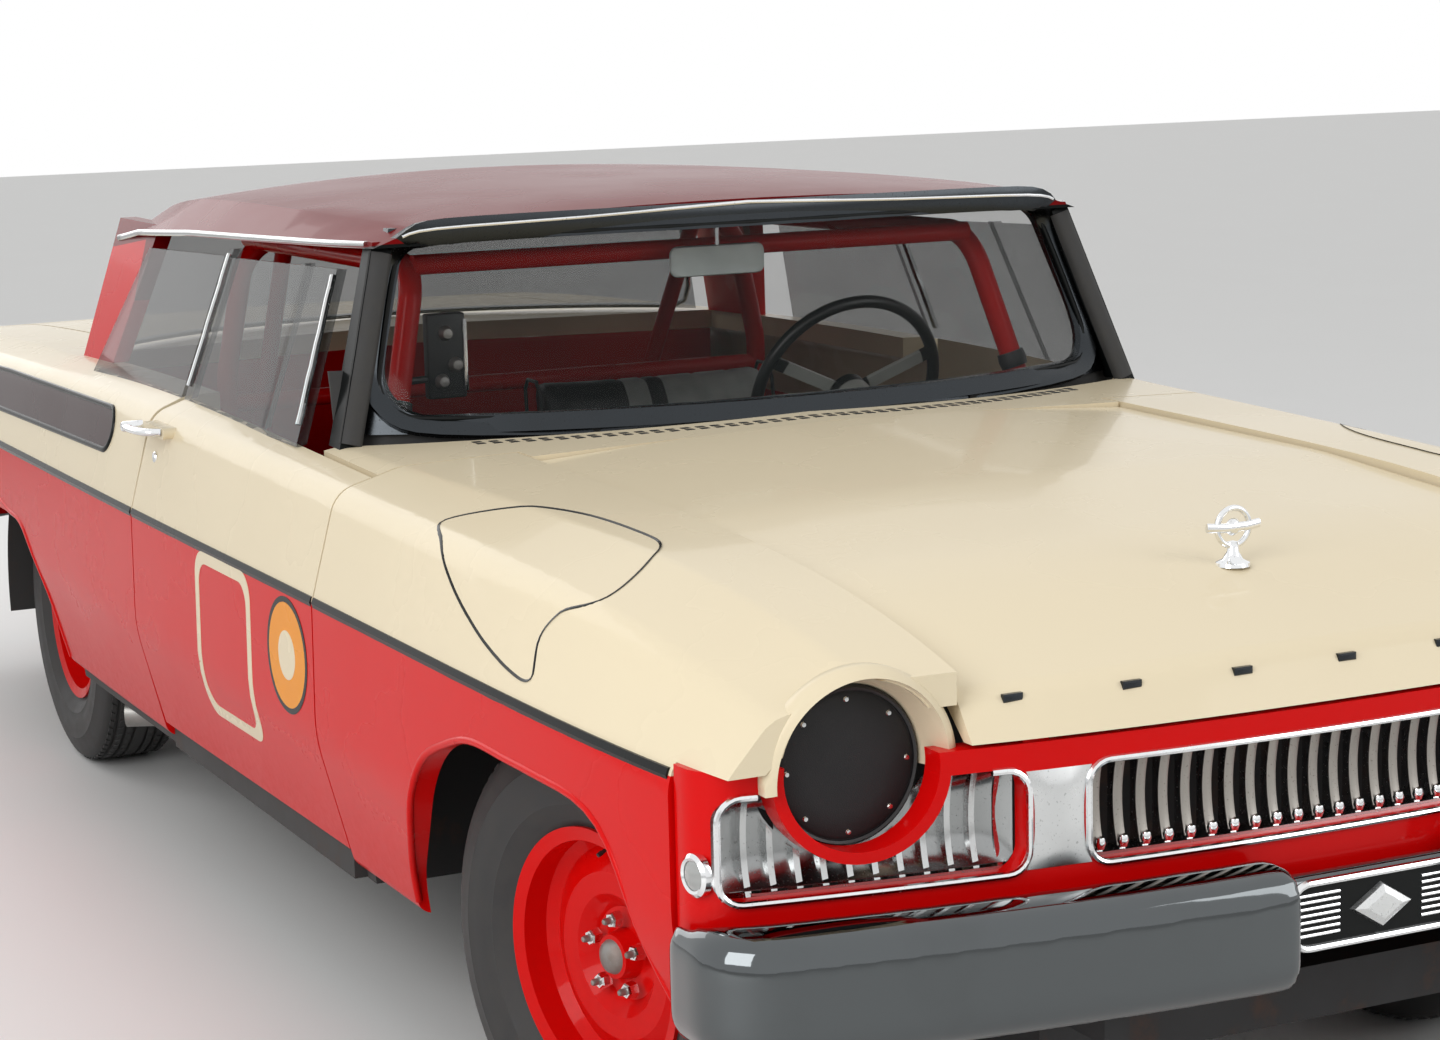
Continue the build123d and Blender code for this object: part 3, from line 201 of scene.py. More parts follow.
class Finish(Tree):
    """One material, built from a Principled shader and what varies over the surface."""

    def __init__(self, name, colour, rough=0.5, metal=0.0, **constants):
        self.material = bpy.data.materials.new(name)
        self.material.use_nodes = True
        self.material.diffuse_color = (*colour, 1)
        super().__init__(self.material.node_tree)
        self.shader = self.tree.nodes["Principled BSDF"]
        plain = {"Base_Color": (*colour, 1), "Roughness": rough, "Metallic": metal, **constants}
        for socket, value in plain.items():
            self.set(socket.replace("_", " "), value)
        # Object coordinates, which are the car's own metres
        self.place = self.node("ShaderNodeTexCoord", out="Object")

    def set(self, socket, value):
        self.feed(self.shader.inputs[socket], value)

    def noise(self, scale, detail=3.0, rough=0.5, stretch=None):
        where = self.place
        if stretch:
            where = self.node("ShaderNodeVectorMath", {"operation": "MULTIPLY"}, (where, stretch))
        values = {"Vector": where, "Scale": scale, "Detail": detail, "Roughness": rough}
        return self.node("ShaderNodeTexNoise", {}, values)

    def blend(self, mask, first, second):
        """The first colour where the mask is 0 and the second where it is 1."""
        first, second = (c if isinstance(c, Wire) else (*c, 1) for c in (first, second))
        return self.node("ShaderNodeMix", {"data_type": "RGBA"}, {0: mask, 6: first, 7: second}, out=2)

    def tint(self, colour, mask, amount):
        """The colour, darkened by amount where the mask is 1."""
        return self.blend(mask * amount, colour, (0.02, 0.018, 0.015))

    def bump(self, height, strength):
        values = {"Strength": strength, "Distance": 0.001, "Height": height}
        self.set("Normal", self.node("ShaderNodeBump", {}, values))

    def grain(self, scale, strength):
        """The even pebbling of leathercloth and moulded plastic."""
        values = {"Vector": self.place, "Scale": scale}
        self.bump(self.node("ShaderNodeTexVoronoi", {"feature": "F1"}, values), strength)


# Finishes


def gloss_paint(name, colour, dull=0.0, below=None, split=0.0):
    """Sprayed enamel with faint orange peel and a little dust, in two tones if there is one below the split."""
    paint = Finish(
        name, colour, 0.3, Specular_IOR_Level=0.05, Coat_Weight=0.25, Coat_Roughness=0.05, Coat_IOR=1.4
    )
    height = paint.split(paint.place)[2]
    cloud = paint.noise(3.0, 4.0)
    low = 1 - height.above(0.42, 0.16)
    grime = (cloud.above(0.55, 0.3) * 0.12 + low * paint.noise(60.0) * 0.9).smaller(1.0)
    coats = paint.blend(height.above(split, 0.0006), below, colour) if below else colour
    paint.set("Base Color", paint.tint(coats, grime, 0.14 + dull))
    paint.set("Roughness", 0.22 + grime * 0.25 + cloud * 0.08)
    paint.bump(paint.noise(420.0, 2.0), 0.035)
    return paint


def shaded_roof_paint(name, colour, unshaded_rear_colour):
    """Red over the roof, darkened as painted shade on its top; black on the windshield pillars; the body's unshaded
    bright red low on the rear pillars.
    """
    paint = gloss_paint(name, colour, 0.05)
    x, _, z = paint.split(paint.place)
    front = x.above(0.50, 0.001) * (1 - (z - (x - 0.66) * 0.16).above(1.362, 0.001))
    # The rear pillars below this line keep the body's unshaded red; the darker roof colour elsewhere is painted shade.
    rear = (1 - x.above(-0.78, 0.001)) * (1 - (z - x * 0.12).above(1.388, 0.001))
    paint.set("Base Color", paint.blend(front, paint.blend(rear, colour, unshaded_rear_colour), (0.006, 0.007, 0.007)))
    paint.set("Coat Weight", 0.1 - front * 0.08)
    return paint


def bright_metal(
    name, colour=(0.86, 0.87, 0.88), rough=0.06, haze=0.5, brushed=None, pitted=0.68, **constants
):
    """Plated or polished metal, hazed and finely pitted."""
    metal = Finish(name, colour, rough, 1.0, **constants)
    cloud = metal.noise(7.0, 5.0, 0.6)
    pits = metal.noise(260.0, 2.0).above(pitted, 0.05)
    metal.set("Roughness", rough + cloud.above(0.5, 0.3) * haze * 0.18 + pits * 0.2)
    metal.set("Base Color", metal.tint(colour, pits * 0.6 + cloud.above(0.62, 0.2) * 0.3, 0.5))
    if brushed:
        metal.bump(metal.noise(500.0, 2.0, stretch=brushed), 0.06)
    else:
        metal.bump(metal.noise(90.0), 0.012)
    return metal


def rubber(name, colour=(0.018, 0.018, 0.019), rough=0.62):
    """Black rubber, greyed by dust."""
    black = Finish(name, colour, rough)
    dust = black.noise(24.0, 5.0, 0.6).above(0.5, 0.3)
    black.set("Base Color", black.blend(dust * 0.5, colour, (0.06, 0.057, 0.052)))
    black.set("Roughness", rough + dust * 0.2)
    black.bump(black.noise(700.0), 0.15)
    return black


def dull_steel(name, colour, rough, metal, rust):
    """Bare or painted chassis steel with road dirt and a little rust."""
    steel = Finish(name, colour, rough, metal)
    patch = steel.noise(9.0, 6.0, 0.65)
    rusty = patch.above(0.6, 0.08) * rust
    steel.set("Base Color", steel.blend(rusty, steel.tint(colour, patch, 0.5), (0.16, 0.06, 0.025)))
    steel.set("Roughness", rough + rusty * 0.3 + patch * 0.15)
    steel.set("Metallic", (1 - rusty) * metal)
    steel.bump(steel.noise(180.0, 4.0), 0.12)
    return steel


def clear_glass(name, alpha):
    """Thin window glass with faint smears."""
    glass = Finish(name, (0.010, 0.014, 0.014), 0.02, Specular_IOR_Level=0.3, IOR=1.4)
    smear = glass.noise(5.0, 5.0, 0.6, (1.0, 1.0, 3.0)).above(0.56, 0.2)
    glass.set("Alpha", alpha + smear * 0.02)
    glass.set("Roughness", 0.01 + smear * 0.04)
    return glass


def seat_vinyl(name, fabric, stripe):
    """Grained vinyl: silver panels with a dark stripe, and a dark panel at the inner end."""
    vinyl = Finish(name, fabric, 0.45)
    y = vinyl.split(vinyl.place)[1]
    dark = (y.between(0.292, 0.332) + (1 - y.above(0.235))).smaller(1.0)
    wear = vinyl.noise(16.0, 4.0).above(0.55, 0.2)
    vinyl.set("Base Color", vinyl.tint(vinyl.blend(dark, fabric, stripe), wear, 0.22))
    vinyl.set("Roughness", 0.4 + wear * 0.15)
    vinyl.grain(420.0, 0.25)
    return vinyl


def crackle_plastic(name, colour, rough=0.5):
    """Moulded or crackle-painted trim with a fine even grain."""
    trim = Finish(name, colour, rough)
    worn = trim.noise(11.0, 4.0).above(0.55, 0.25)
    trim.set("Base Color", trim.blend(worn * 0.35, colour, tuple(c * 1.8 + 0.01 for c in colour)))
    trim.set("Roughness", rough + worn * 0.14)
    trim.grain(650.0, 0.16)
    return trim


def steering_finish(name, rim, spokes):
    """A dark rim with pale spokes, parted by the distance from the wheel's middle."""
    trim = Finish(name, rim, 0.35)
    ends = (trim.place, STEERING_CENTRE)
    reach = trim.node("ShaderNodeVectorMath", {"operation": "DISTANCE"}, ends, out="Value")
    worn = trim.noise(14.0, 4.0).above(0.55, 0.25)
    trim.set("Base Color", trim.tint(trim.blend(reach.between(0.052, 0.176), rim, spokes), worn, 0.2))
    trim.set("Roughness", 0.3 + worn * 0.2)
    return trim


def lens_plastic(name, colour):
    """A ribbed coloured lens."""
    lens = Finish(name, colour, 0.12, Transmission_Weight=0.1, IOR=1.49, Coat_Weight=1.0, Coat_Roughness=0.03)
    lens.set("Roughness", 0.1 + lens.noise(30.0) * 0.08)
    lens.bump((lens.split(lens.place)[2] * 520.0).wave(), 0.35)
    return lens


def make_finishes():
    """Every finish of the car, by its plain name."""
    paint = bpy.context.scene.car_paint
    painted = (paint.cream, paint.red, paint.roof, paint.cage, paint.steel_wheel, paint.badge)
    cream, red, roof, cage, wheel, badge = (tuple(colour) for colour in painted)
    split = bpy.context.scene.car_trim.moulding_z
    plated = {"pitted": 0.82, "Coat_Weight": 1.0, "Coat_Roughness": 0.02}
    made = {
        "cream": gloss_paint("cream enamel", cream),
        "red": gloss_paint("red enamel", red),
        "sides": gloss_paint("cream over red enamel", cream, 0.02, red, split),
        # The roof's darker red is painted shade; its rear pillars keep the body red.
        "roof": shaded_roof_paint("roof red with painted shade", roof, red),
        "cage": gloss_paint("cage red enamel", cage, 0.05),
        "wheel": gloss_paint("wheel red enamel", wheel, 0.03),
        "black enamel": gloss_paint("black enamel", (0.008, 0.009, 0.009)),
        "badge": gloss_paint("orange enamel", badge),
        # The scallop's near-black red is painted shade of a recess, over a red ground.
        "scallop": gloss_paint("recess red with painted shade", (0.030, 0.006, 0.006)),
        "chrome": bright_metal("chrome plate"),
        "satin": bright_metal("satin aluminium", (0.72, 0.73, 0.73), 0.24, 0.7, (0.02, 1.0, 1.0)),
        "stainless": bright_metal("polished stainless", (0.6, 0.61, 0.61), 0.12, 0.4, (1.0, 1.0, 0.05)),
        "dark trim": bright_metal("dark bright trim", (0.045, 0.05, 0.055), 0.2),
        # The bumper's near-black colour is a painted reflection of dark surroundings on its chrome.
        "bumper": bright_metal("bumper chrome with painted dark reflection", (0.085, 0.095, 0.10), 0.05, 0.25, **plated),
        "basin": bright_metal("pressed grille basin", (0.34, 0.35, 0.35), 0.16),
        "bar metal": bright_metal("weathered grille bars", (0.36, 0.34, 0.31), 0.34, 0.7),
        "mirror": bright_metal("mirror glass", (0.9, 0.91, 0.92), 0.02, 0.1),
        "rubber": rubber("black rubber"),
        "tyre": rubber("tyre rubber", (0.02, 0.02, 0.021), 0.55),
        "screen glass": clear_glass("windshield glass", 0.20),
        "glass": clear_glass("window glass", 0.42),
        "frame": dull_steel("frame steel", (0.03, 0.03, 0.032), 0.55, 0.3, 0.25),
        "iron": dull_steel("cast iron", (0.11, 0.105, 0.1), 0.6, 0.6, 0.5),
        "bare steel": dull_steel("bare steel", (0.42, 0.41, 0.39), 0.38, 0.9, 0.35),
        "floor": dull_steel("floor paint", (0.035, 0.034, 0.034), 0.6, 0.1, 0.1),
        "lamp cover": crackle_plastic("matt black cover", (0.006, 0.006, 0.007), 0.7),
        "dash": crackle_plastic("dash trim", (0.05, 0.012, 0.01), 0.42),
        "black plastic": crackle_plastic("black plastic", (0.012, 0.012, 0.013), 0.4),
        "pale strip": crackle_plastic("pale strip", (0.5, 0.52, 0.47), 0.55),
        "mirror shell": crackle_plastic("silvered mirror shell", (0.68, 0.76, 0.76), 0.3),
        "seat": seat_vinyl("seat vinyl", (0.50, 0.55, 0.52), (0.012, 0.012, 0.013)),
        "red lens": lens_plastic("red lens", (0.34, 0.004, 0.003)),
        "clear lens": lens_plastic("clear lens", (0.36, 0.37, 0.36)),
        "steering": steering_finish("steering wheel", (0.010, 0.011, 0.011), (0.46, 0.48, 0.44)),
    }
    return {key: finish.material for key, finish in made.items()}


FINISHES = {}


# Building blocks


def rework(mesh, change):
    """Opens a mesh for one change and writes it back."""
    work = bmesh.new()
    work.from_mesh(mesh)
    change(work)
    work.to_mesh(mesh)
    work.free()


def turn_out(work):
    """Turns every face outwards."""
    bmesh.ops.recalc_face_normals(work, faces=work.faces)


def soften(mesh, angle):
    """Smooth shading, with creases kept where faces meet at more than angle degrees."""

    def ease(work):
        for face in work.faces:
            face.smooth = True
        for edge in work.edges:
            edge.smooth = len(edge.link_faces) == 2 and edge.calc_face_angle() < math.radians(angle)

    rework(mesh, ease)


def linked(mesh):
    """A new object for a mesh, in the scene."""
    piece = bpy.data.objects.new(mesh.name, mesh)
    bpy.context.scene.collection.objects.link(piece)
    return piece


def blank(name, shape, change=None):
    """An unpainted piece with a shape's points and faces, after a change to its mesh."""
    verts, faces = shape
    mesh = bpy.data.meshes.new(name)
    mesh.from_pydata([tuple(v) for v in verts], [], [tuple(f) for f in faces])
    if change:
        rework(mesh, change)
    return linked(mesh)


def paint_over(piece, finish):
    piece.data.materials.clear()
    piece.data.materials.append(FINISHES[finish])


def finish_piece(piece, finish, body="car", smooth=35):
    """Smooths a piece up to an angle, paints it and seats it on its body."""
    soften(piece.data, smooth)
    paint_over(piece, finish)
    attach(piece, body)
    return piece


def add_piece(name, shape, finish, body="car", smooth=35):
    """A closed piece of a shape, with its finish, riding on a body."""
    return finish_piece(blank(name, shape, turn_out), finish, body, smooth)


def bake_modifiers(piece):
    """Turns a piece's live modifiers into its plain mesh."""
    graph = bpy.context.evaluated_depsgraph_get()
    copy = piece.evaluated_get(graph)
    mesh = bpy.data.meshes.new_from_object(copy, preserve_all_data_layers=True, depsgraph=graph)
    piece.modifiers.clear()
    piece.data = mesh


def modified(piece, kind, **settings):
    """A piece after one modifier with these settings."""
    modifier = piece.modifiers.new(kind.lower(), kind)
    for key, value in settings.items():
        setattr(modifier, key, value)
    bake_modifiers(piece)
    return piece


def skin(node, finish, smooth):
    """A smooth-shaded copy of a CAD node, its corners merged, that stands for it."""
    mesh = bpy.data.meshes.new(f"{node}_skin")
    work = bmesh.new()
    work.from_mesh(frame["nodes"][node].data)
    bmesh.ops.remove_doubles(work, verts=work.verts, dist=0.00003)
    bmesh.ops.dissolve_degenerate(work, dist=0.00001, edges=work.edges)
    work.to_mesh(mesh)
    work.free()
    soften(mesh, smooth)
    piece = modified(linked(mesh), "WEIGHTED_NORMAL", keep_sharp=True)
    paint_over(piece, finish)
    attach(piece, BODY_OF[node])
    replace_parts(piece, node)
    return piece


def skins(smooth, *rows):
    """Skins, in order, for rows of a finish and the CAD nodes that have it."""
    for finish, nodes in rows:
        for node in nodes.split():
            skin(node, finish, smooth)


def points_of(mesh):
    return np.array([v.co for v in mesh.vertices])


def move_points(mesh, points):
    mesh.vertices.foreach_set("co", points.ravel())
    mesh.update()


def turns(count):
    """Angles spread evenly round a circle."""
    return [2 * math.pi * i / count for i in range(count)]


def cap(row, columns):
    """One face over a row of points."""
    return [row * columns + i for i in range(columns)]


def net(rows, columns, round_rows=False, round_columns=False):
    """Faces between rows of points, closed round either way if asked."""
    return [
        (
            r * columns + c,
            r * columns + (c + 1) % columns,
            (r + 1) % rows * columns + (c + 1) % columns,
            (r + 1) % rows * columns + c,
        )
        for r in range(rows if round_rows else rows - 1)
        for c in range(columns if round_columns else columns - 1)
    ]


def square_to(way, axis):
    """The direction nearest to way that is square to an axis."""
    return (Vector(way) - Vector(way).dot(axis) * axis).normalized()


def lathe(profile, centre, axis, steps=48, up=None, ring=False):
    """A profile of (radius, distance along axis) turned round an axis; a ring's profile is a closed loop."""
    axis = Vector(axis).normalized()
    side = axis.orthogonal().normalized() if up is None else square_to(up, axis)
    other = axis.cross(side)
    verts = [
        Vector(centre) + axis * along + (side * math.cos(turn) + other * math.sin(turn)) * radius
        for radius, along in profile
        for turn in turns(steps)
    ]
    last = len(profile) - 1
    faces = net(last + 1, steps, ring, True)
    if not ring:
        faces += [cap(row, steps) for row in (0, last) if profile[row][0] > 1e-6]
    return verts, faces


def sweep(path, section, closed=False, up=ABOVE):
    """A section of (across, up) points carried along a path."""
    points = [Vector(p) for p in path]
    count, n = len(points), len(section)
    verts = []
    for i, point in enumerate(points):
        before = points[i - 1] if closed or i else point
        after = points[(i + 1) % count] if closed or i < count - 1 else point
        along = (after - before).normalized()
        across = along.cross(up[i] if isinstance(up, list) else Vector(up)).normalized()
        high = across.cross(along).normalized()
        verts += [point + across * a + high * b for a, b in section]
    faces = net(count, n, closed, True)
    if not closed:
        faces += [cap(0, n), cap(count - 1, n)[::-1]]
    return verts, faces


def round_section(wide, steps=10, high=None):
    """The points of a round section, or of an oval one."""
    return [(wide * math.cos(a), (high or wide) * math.sin(a)) for a in turns(steps)]


def strip_section(width, depth, side):
    """A half-round strip: width up and down, depth proud of the panel on that side."""
    half, step = width / 2, depth * 0.7
    points = [(0, -half), (step, -half), (depth, -half * 0.45), (depth, half * 0.45), (step, half), (0, half)]
    return [(a * side, b) for a, b in (*points, (-depth * 0.6, 0))]


def joined(shapes):
    """One shape from several."""
    verts, faces = [], []
    for some_verts, some_faces in shapes:
        first = len(verts)
        verts += list(some_verts)
        faces += [[first + i for i in face] for face in some_faces]
    return verts, faces


def box(low, high):
    """A plain block between two corners."""
    verts = [(x, y, z) for x in (low[0], high[0]) for y in (low[1], high[1]) for z in (low[2], high[2])]
    return verts, [(0, 1, 3, 2), (4, 6, 7, 5), (0, 4, 5, 1), (2, 3, 7, 6), (0, 2, 6, 4), (1, 5, 7, 3)]


def smooth_path(points, steps=8):
    """Points along a smooth line through the given ones."""
    points = [Vector(p) for p in points]
    out = []
    for i in range(len(points) - 1):
        a, b = points[max(i - 1, 0)], points[i]
        c, d = points[i + 1], points[min(i + 2, len(points) - 1)]
        for t in (k / steps for k in range(steps)):
            bend = (2 * a - 5 * b + 4 * c - d) * t * t + (3 * b - a - 3 * c + d) * t**3
            out.append(0.5 * (2 * b + (c - a) * t + bend))
    return [*out, points[-1]]


def evened(points, rounds):
    """A closed line of points, eased by averaging each with its neighbours."""
    for _ in range(rounds):
        after = [*points[1:], points[0]]
        points = [points[i] * 0.5 + (points[i - 1] + after[i]) * 0.25 for i in range(len(points))]
    return points


def evened_line(points):
    """An open line of points, its inner ones eased by averaging them with their neighbours."""
    for _ in range(3):
        inner = ((a + b * 2 + c) / 4 for a, b, c in zip(points, points[1:], points[2:]))
        points = [points[0], *inner, points[-1]]
    return points


def rounded_window(low_y, low_z, top_y, top_z, radius, steps=8):
    """The outline of a window with rounded corners, as (y, z) points."""
    corners = [Vector(c) for c in ((-low_y, low_z), (low_y, low_z), (top_y, top_z), (-top_y, top_z))]
    out = []
    for i, corner in enumerate(corners):
        after = corners[(i + 1) % 4]
        back, on = (corners[i - 1] - corner).normalized(), (after - corner).normalized()
        half = back.angle(on) / 2
        reach = radius / math.tan(half)
        centre = corner + (back + on).normalized() * radius / math.sin(half)
        start, end = corner + back * reach - centre, corner + on * reach - centre
        turn = start.angle_signed(end)
        out += [centre + Matrix.Rotation(-turn * k / steps, 2) @ start for k in range(steps + 1)]
        side = (after - corner).length
        out += [corner + (after - corner) * k / 8 for k in range(1, 8) if reach < side * k / 8 < side - reach]
    return out


def surface_of(*nodes):
    """A tree of the nodes' triangles, on which pieces are laid."""
    meshes = [frame["nodes"][node].data for node in nodes]
    shapes = [([v.co.copy() for v in m.vertices], [p.vertices for p in m.polygons]) for m in meshes]
    return BVHTree.FromPolygons(*joined(shapes))


def on_side(tree, x, z, side, proud=0.0):
    """The point of the car's side at x and z."""
    hit = tree.ray_cast(Vector((x, side * 1.5, z)), Vector((0, -side, 0)))[0]
    return None if hit is None else Vector((hit.x, hit.y + side * proud, hit.z))


def side_hits(tree, points, side):
    """The points of the car's side at each (x, z), where there is one."""
    return [hit for hit in (on_side(tree, x, z, side) for x, z in points) if hit is not None]


def front_hits(tree, points, least=-9.0, start=1.5):
    """The points of a surface seen from ahead at each (y, z), where one lies ahead of least."""
    hits = (tree.ray_cast(Vector((start, y, z)), BACK)[0] for y, z in points)
    return [hit for hit in hits if hit is not None and hit.x > least]


def on_top(tree, x, y):
    """The point of the car's upper surface at x and y."""
    return tree.ray_cast(Vector((x, y, 1.6)), DOWN)[0]


def on_nose(x, y):
    """How far ahead the curved nose lies at y, when its middle is at x."""
    return x - y * y / (2 * NOSE_RADIUS)


def from_lamp(y, z):
    """The distance from the nearer headlamp's middle."""
    return math.hypot(abs(y) - LAMP_ACROSS, z - LAMP_HEIGHT)


# Repeats by Geometry Nodes


def repeat_tree(name, round_line, count, span, finish):
    """A node tree that repeats its mesh round a circle, or along a line with the given step."""
    group = bpy.data.node_groups.new(name, "GeometryNodeTree")
    face = group.interface
    reach = ("Radius", "Float") if round_line else ("Step", "Vector")
    face.new_socket("Geometry", in_out="INPUT", socket_type="NodeSocketGeometry")
    for label, kind, value in (("Count", "Int", count), (*reach, span)):
        face.new_socket(label, in_out="INPUT", socket_type=f"NodeSocket{kind}").default_value = value
    face.new_socket("Geometry", in_out="OUTPUT", socket_type="NodeSocketGeometry")
    tree = Tree(group)
    shape, amount, reach = (tree.node("NodeGroupInput", out=i) for i in range(3))
    where = {"Instance": shape}
    if round_line:
        where["Points"] = tree.node("GeometryNodeMeshCircle", {}, {"Vertices": amount, "Radius": reach})
        outward = {"Vector": tree.node("GeometryNodeInputPosition")}
        axes = {"axis": "X", "pivot_axis": "Z"}
        where["Rotation"] = tree.node("FunctionNodeAlignRotationToVector", axes, outward)
    else:
        line = {"Count": amount, "Offset": reach}
        where["Points"] = tree.node("GeometryNodeMeshLine", {"mode": "OFFSET"}, line)
    copies = tree.node("GeometryNodeInstanceOnPoints", {}, where)
    real = tree.node("GeometryNodeRealizeInstances", {}, (copies,))
    coat = tree.node("GeometryNodeSetMaterial", {}, {"Geometry": real, "Material": FINISHES[finish]})
    tree.node("NodeGroupOutput", {}, (coat,))
    return group


def repeated(name, shape, finish, body, count, span, place=None, smooth=35):
    """One mesh of a shape repeated round a circle (span a radius) or along a line (span a step)."""
    piece = blank(name, shape)
    group = repeat_tree(f"{name} repeat", not isinstance(span, tuple), count, span, finish)
    modifier = piece.modifiers.new("repeat", "NODES")
    modifier.node_group = group
    values = {"Count": count, "Radius": span, "Step": span}
    for item in group.interface.items_tree:
        if item.in_out == "INPUT" and item.name in values:
            modifier[item.identifier] = values[item.name]
    bake_modifiers(piece)
    piece.data.transform(place or Matrix.Identity(4))
    rework(piece.data, turn_out)
    return finish_piece(piece, finish, body, smooth)


def placement(x, y, z, centre):
    """A placement from its three axes and its middle."""
    return Matrix((*zip(x, y, z, centre), (0, 0, 0, 1)))


def facing(centre, axis):
    """A placement whose Z runs along axis and whose X runs up."""
    z = Vector(axis).normalized()
    x = square_to(ABOVE, z)
    return placement(x, z.cross(x), z, centre)


# Pieces of the car


class CarPiece:
    """What the operators share: they build into the open scene and can be undone."""

    bl_options = {"REGISTER", "UNDO"}

    def execute(self, context):
        self.build(context.scene)
        return {"FINISHED"}


class STOCKCAR_OT_finishes(CarPiece, bpy.types.Operator):
    """Mixes every finish of the car"""

    bl_idname = "stockcar.finishes"
    bl_label = "Finishes"

    def build(self, scene):
        FINISHES.update(make_finishes())


class STOCKCAR_OT_panels(CarPiece, bpy.types.Operator):
    """Sprays and polishes the outer panels"""

    bl_idname = "stockcar.panels"
    bl_label = "Body panels"

    def build(self, scene):
        sides = "fender_left fender_right quarter_left quarter_right door_left door_right"
        ends = ("red", "front_panel tail_panel")
        skins(28, ("cream", "hood boot_lid cowl rear_deck"), ("sides", sides), ends, ("roof", "roof"))


class STOCKCAR_OT_glazing(CarPiece, bpy.types.Operator):
    """Puts in the window glass, its seals and the bright surrounds"""

    bl_idname = "stockcar.glazing"
    bl_label = "Glass and seals"

    def build(self, scene):
        windows = "backlight quarter_glass_left quarter_glass_right door_glass_right door_glass_left"
        skins(28, ("dark trim", "windshield_trim"), ("screen glass", "windshield"), ("glass", windows))
        self.screen_bead()
        self.surround()
        self.rear_moulding()
        for side, name in SIDES:
            self.drip_rail(side, name)
            self.pillar_moulding(side, name)
            self.window_channels(side, name)
            self.tail_corner(side, name)
            self.arch_lip(f"fender_{name}", FRONT_AXLE, side)
            self.arch_lip(f"quarter_{name}", REAR_AXLE, side)
            self.corner_seal(side, name)

    def screen_bead(self):
        """A black bead round the windshield."""
        outline = rounded_window(0.762, 1.062, 0.668, 1.366, 0.06)
        outline = [(y * 1.012, z + (0.006 if z > 1.2 else -0.006)) for y, z in outline]
        ring = [hit + AHEAD * 0.002 for hit in front_hits(surface_of("windshield_trim"), outline)]
        bead = sweep(evened(ring, 2), round_section(0.0050, 8), True, AHEAD)
        add_piece("windshield_bead", bead, "black enamel")

    def surround(self):
        """The thick dark frame round the windshield, over the edge of roof and pillars."""
        tree = surface_of("windshield_trim", "roof", "cowl")
        outline = [(y * 0.985, z) for y, z in rounded_window(0.797, 1.040, 0.701, 1.389, 0.085, 10)]
        ring = evened([hit + AHEAD * 0.001 for hit in front_hits(tree, outline, 0.60)], 6)
        inner = [(0.000, -0.024), (0.009, -0.024), (0.013, -0.016)]
        outer = [(0.013, 0.014), (0.008, 0.022), (-0.004, 0.024), (-0.010, 0.0)]
        out = [(point - Vector((point.x, 0, 1.215))).normalized() for point in ring]
        add_piece("windshield_surround", sweep(ring, inner + outer, True, out), "dark trim", smooth=50)
        upper = [p + d * 0.021 + AHEAD * 0.008 for p, d in zip(ring, out) if p.z > 1.375]
        upper.sort(key=lambda p: p.y)
        add_piece("windshield_edge", sweep(upper, round_section(0.0035, 8), up=AHEAD), "chrome")

    def rear_moulding(self):
        """The bright moulding round the rear window."""
        tree = surface_of("backlight")
        low, high = [], []
        for y in np.linspace(-0.80, 0.80, 65):
            hits = [tree.ray_cast(Vector((-3.0, y, z)), AHEAD)[0] for z in np.linspace(0.98, 1.38, 81)]
            hits = [hit for hit in hits if hit is not None]
            if len(hits) > 4:
                low.append(hits[0])
                high.append(hits[-1])
        path = [p + Vector((-0.004, 0, 0.002)) for p in evened([*low, *reversed(high)], 2)]
        moulding = sweep(path, round_section(0.0065, 8), True, (-1, 0, 0.4))
        add_piece("rear_window_moulding", moulding, "stainless")

    def arch_lip(self, node, axle, side):
        """The rolled edge of a wheel opening."""
        tree = surface_of(node)
        path = []
        for a in np.linspace(math.radians(-6), math.radians(186), 49):
            for reach in np.arange(0.30, 0.60, 0.003):
                hit = on_side(tree, axle + reach * math.cos(a), HUB_HEIGHT + reach * math.sin(a), side)
                if hit is not None and abs(hit.y) > 0.86:
                    path.append(hit - Vector((0, side * 0.003, 0)))
                    break
        lip = sweep(evened_line(path), round_section(0.0065), up=(0, side, 0))
        add_piece(f"arch_lip_{node}", lip, "sides", smooth=60)

    def tail_corner(self, side, name):
        """The filler between the tail panel and the quarter's rear edge."""
        verts = [
            (x if y < 0.9 else x - 0.004, side * y, z)
            for x in (-2.548, -2.518)
            for y in (0.846, 0.858, 0.905, 0.922)
            for z in (0.432, 0.62, 0.806)
        ]
        face = net(4, 3)
        faces = face + [tuple(i + 12 for i in f) for f in face]
        faces += [(0, 12, 13, 1), (1, 13, 14, 2), (9, 10, 22, 21), (10, 11, 23, 22)]
        faces += [(a, a + 3, a + 15, a + 12) for a in (0, 3, 6)] + [(a, a + 12, a + 15, a + 3) for a in (2, 5, 8)]
        add_piece(f"tail_corner_{name}", (verts, faces), "red", smooth=50)

    def pillar_moulding(self, side, name):
        """The rounded black cover over the front of a windshield pillar."""
        tree = surface_of("roof")
        path, widths = [], []
        for z in np.linspace(1.02, 1.352, 12):
            hits = front_hits(tree, [(side * y, z) for y in np.arange(0.70, 0.87, 0.004)], 0.45, 1.6)
            if len(hits) > 3:
                path.append(sum(hits, Vector()) / len(hits))
                widths.append(abs(hits[-1].y - hits[0].y))
        half = float(np.median(widths)) / 2 + 0.003
        crown = [(-half, -0.012), (-half, 0.0), (-half * 0.7, 0.006), (0, 0.009)]
        crown += [(-a, b) for a, b in reversed(crown[:-1])]
        cover = sweep(evened_line(path), [(a * side, b) for a, b in crown], up=(1, side * 0.25, 0.3))
        add_piece(f"pillar_moulding_{name}", cover, "rubber", smooth=50)

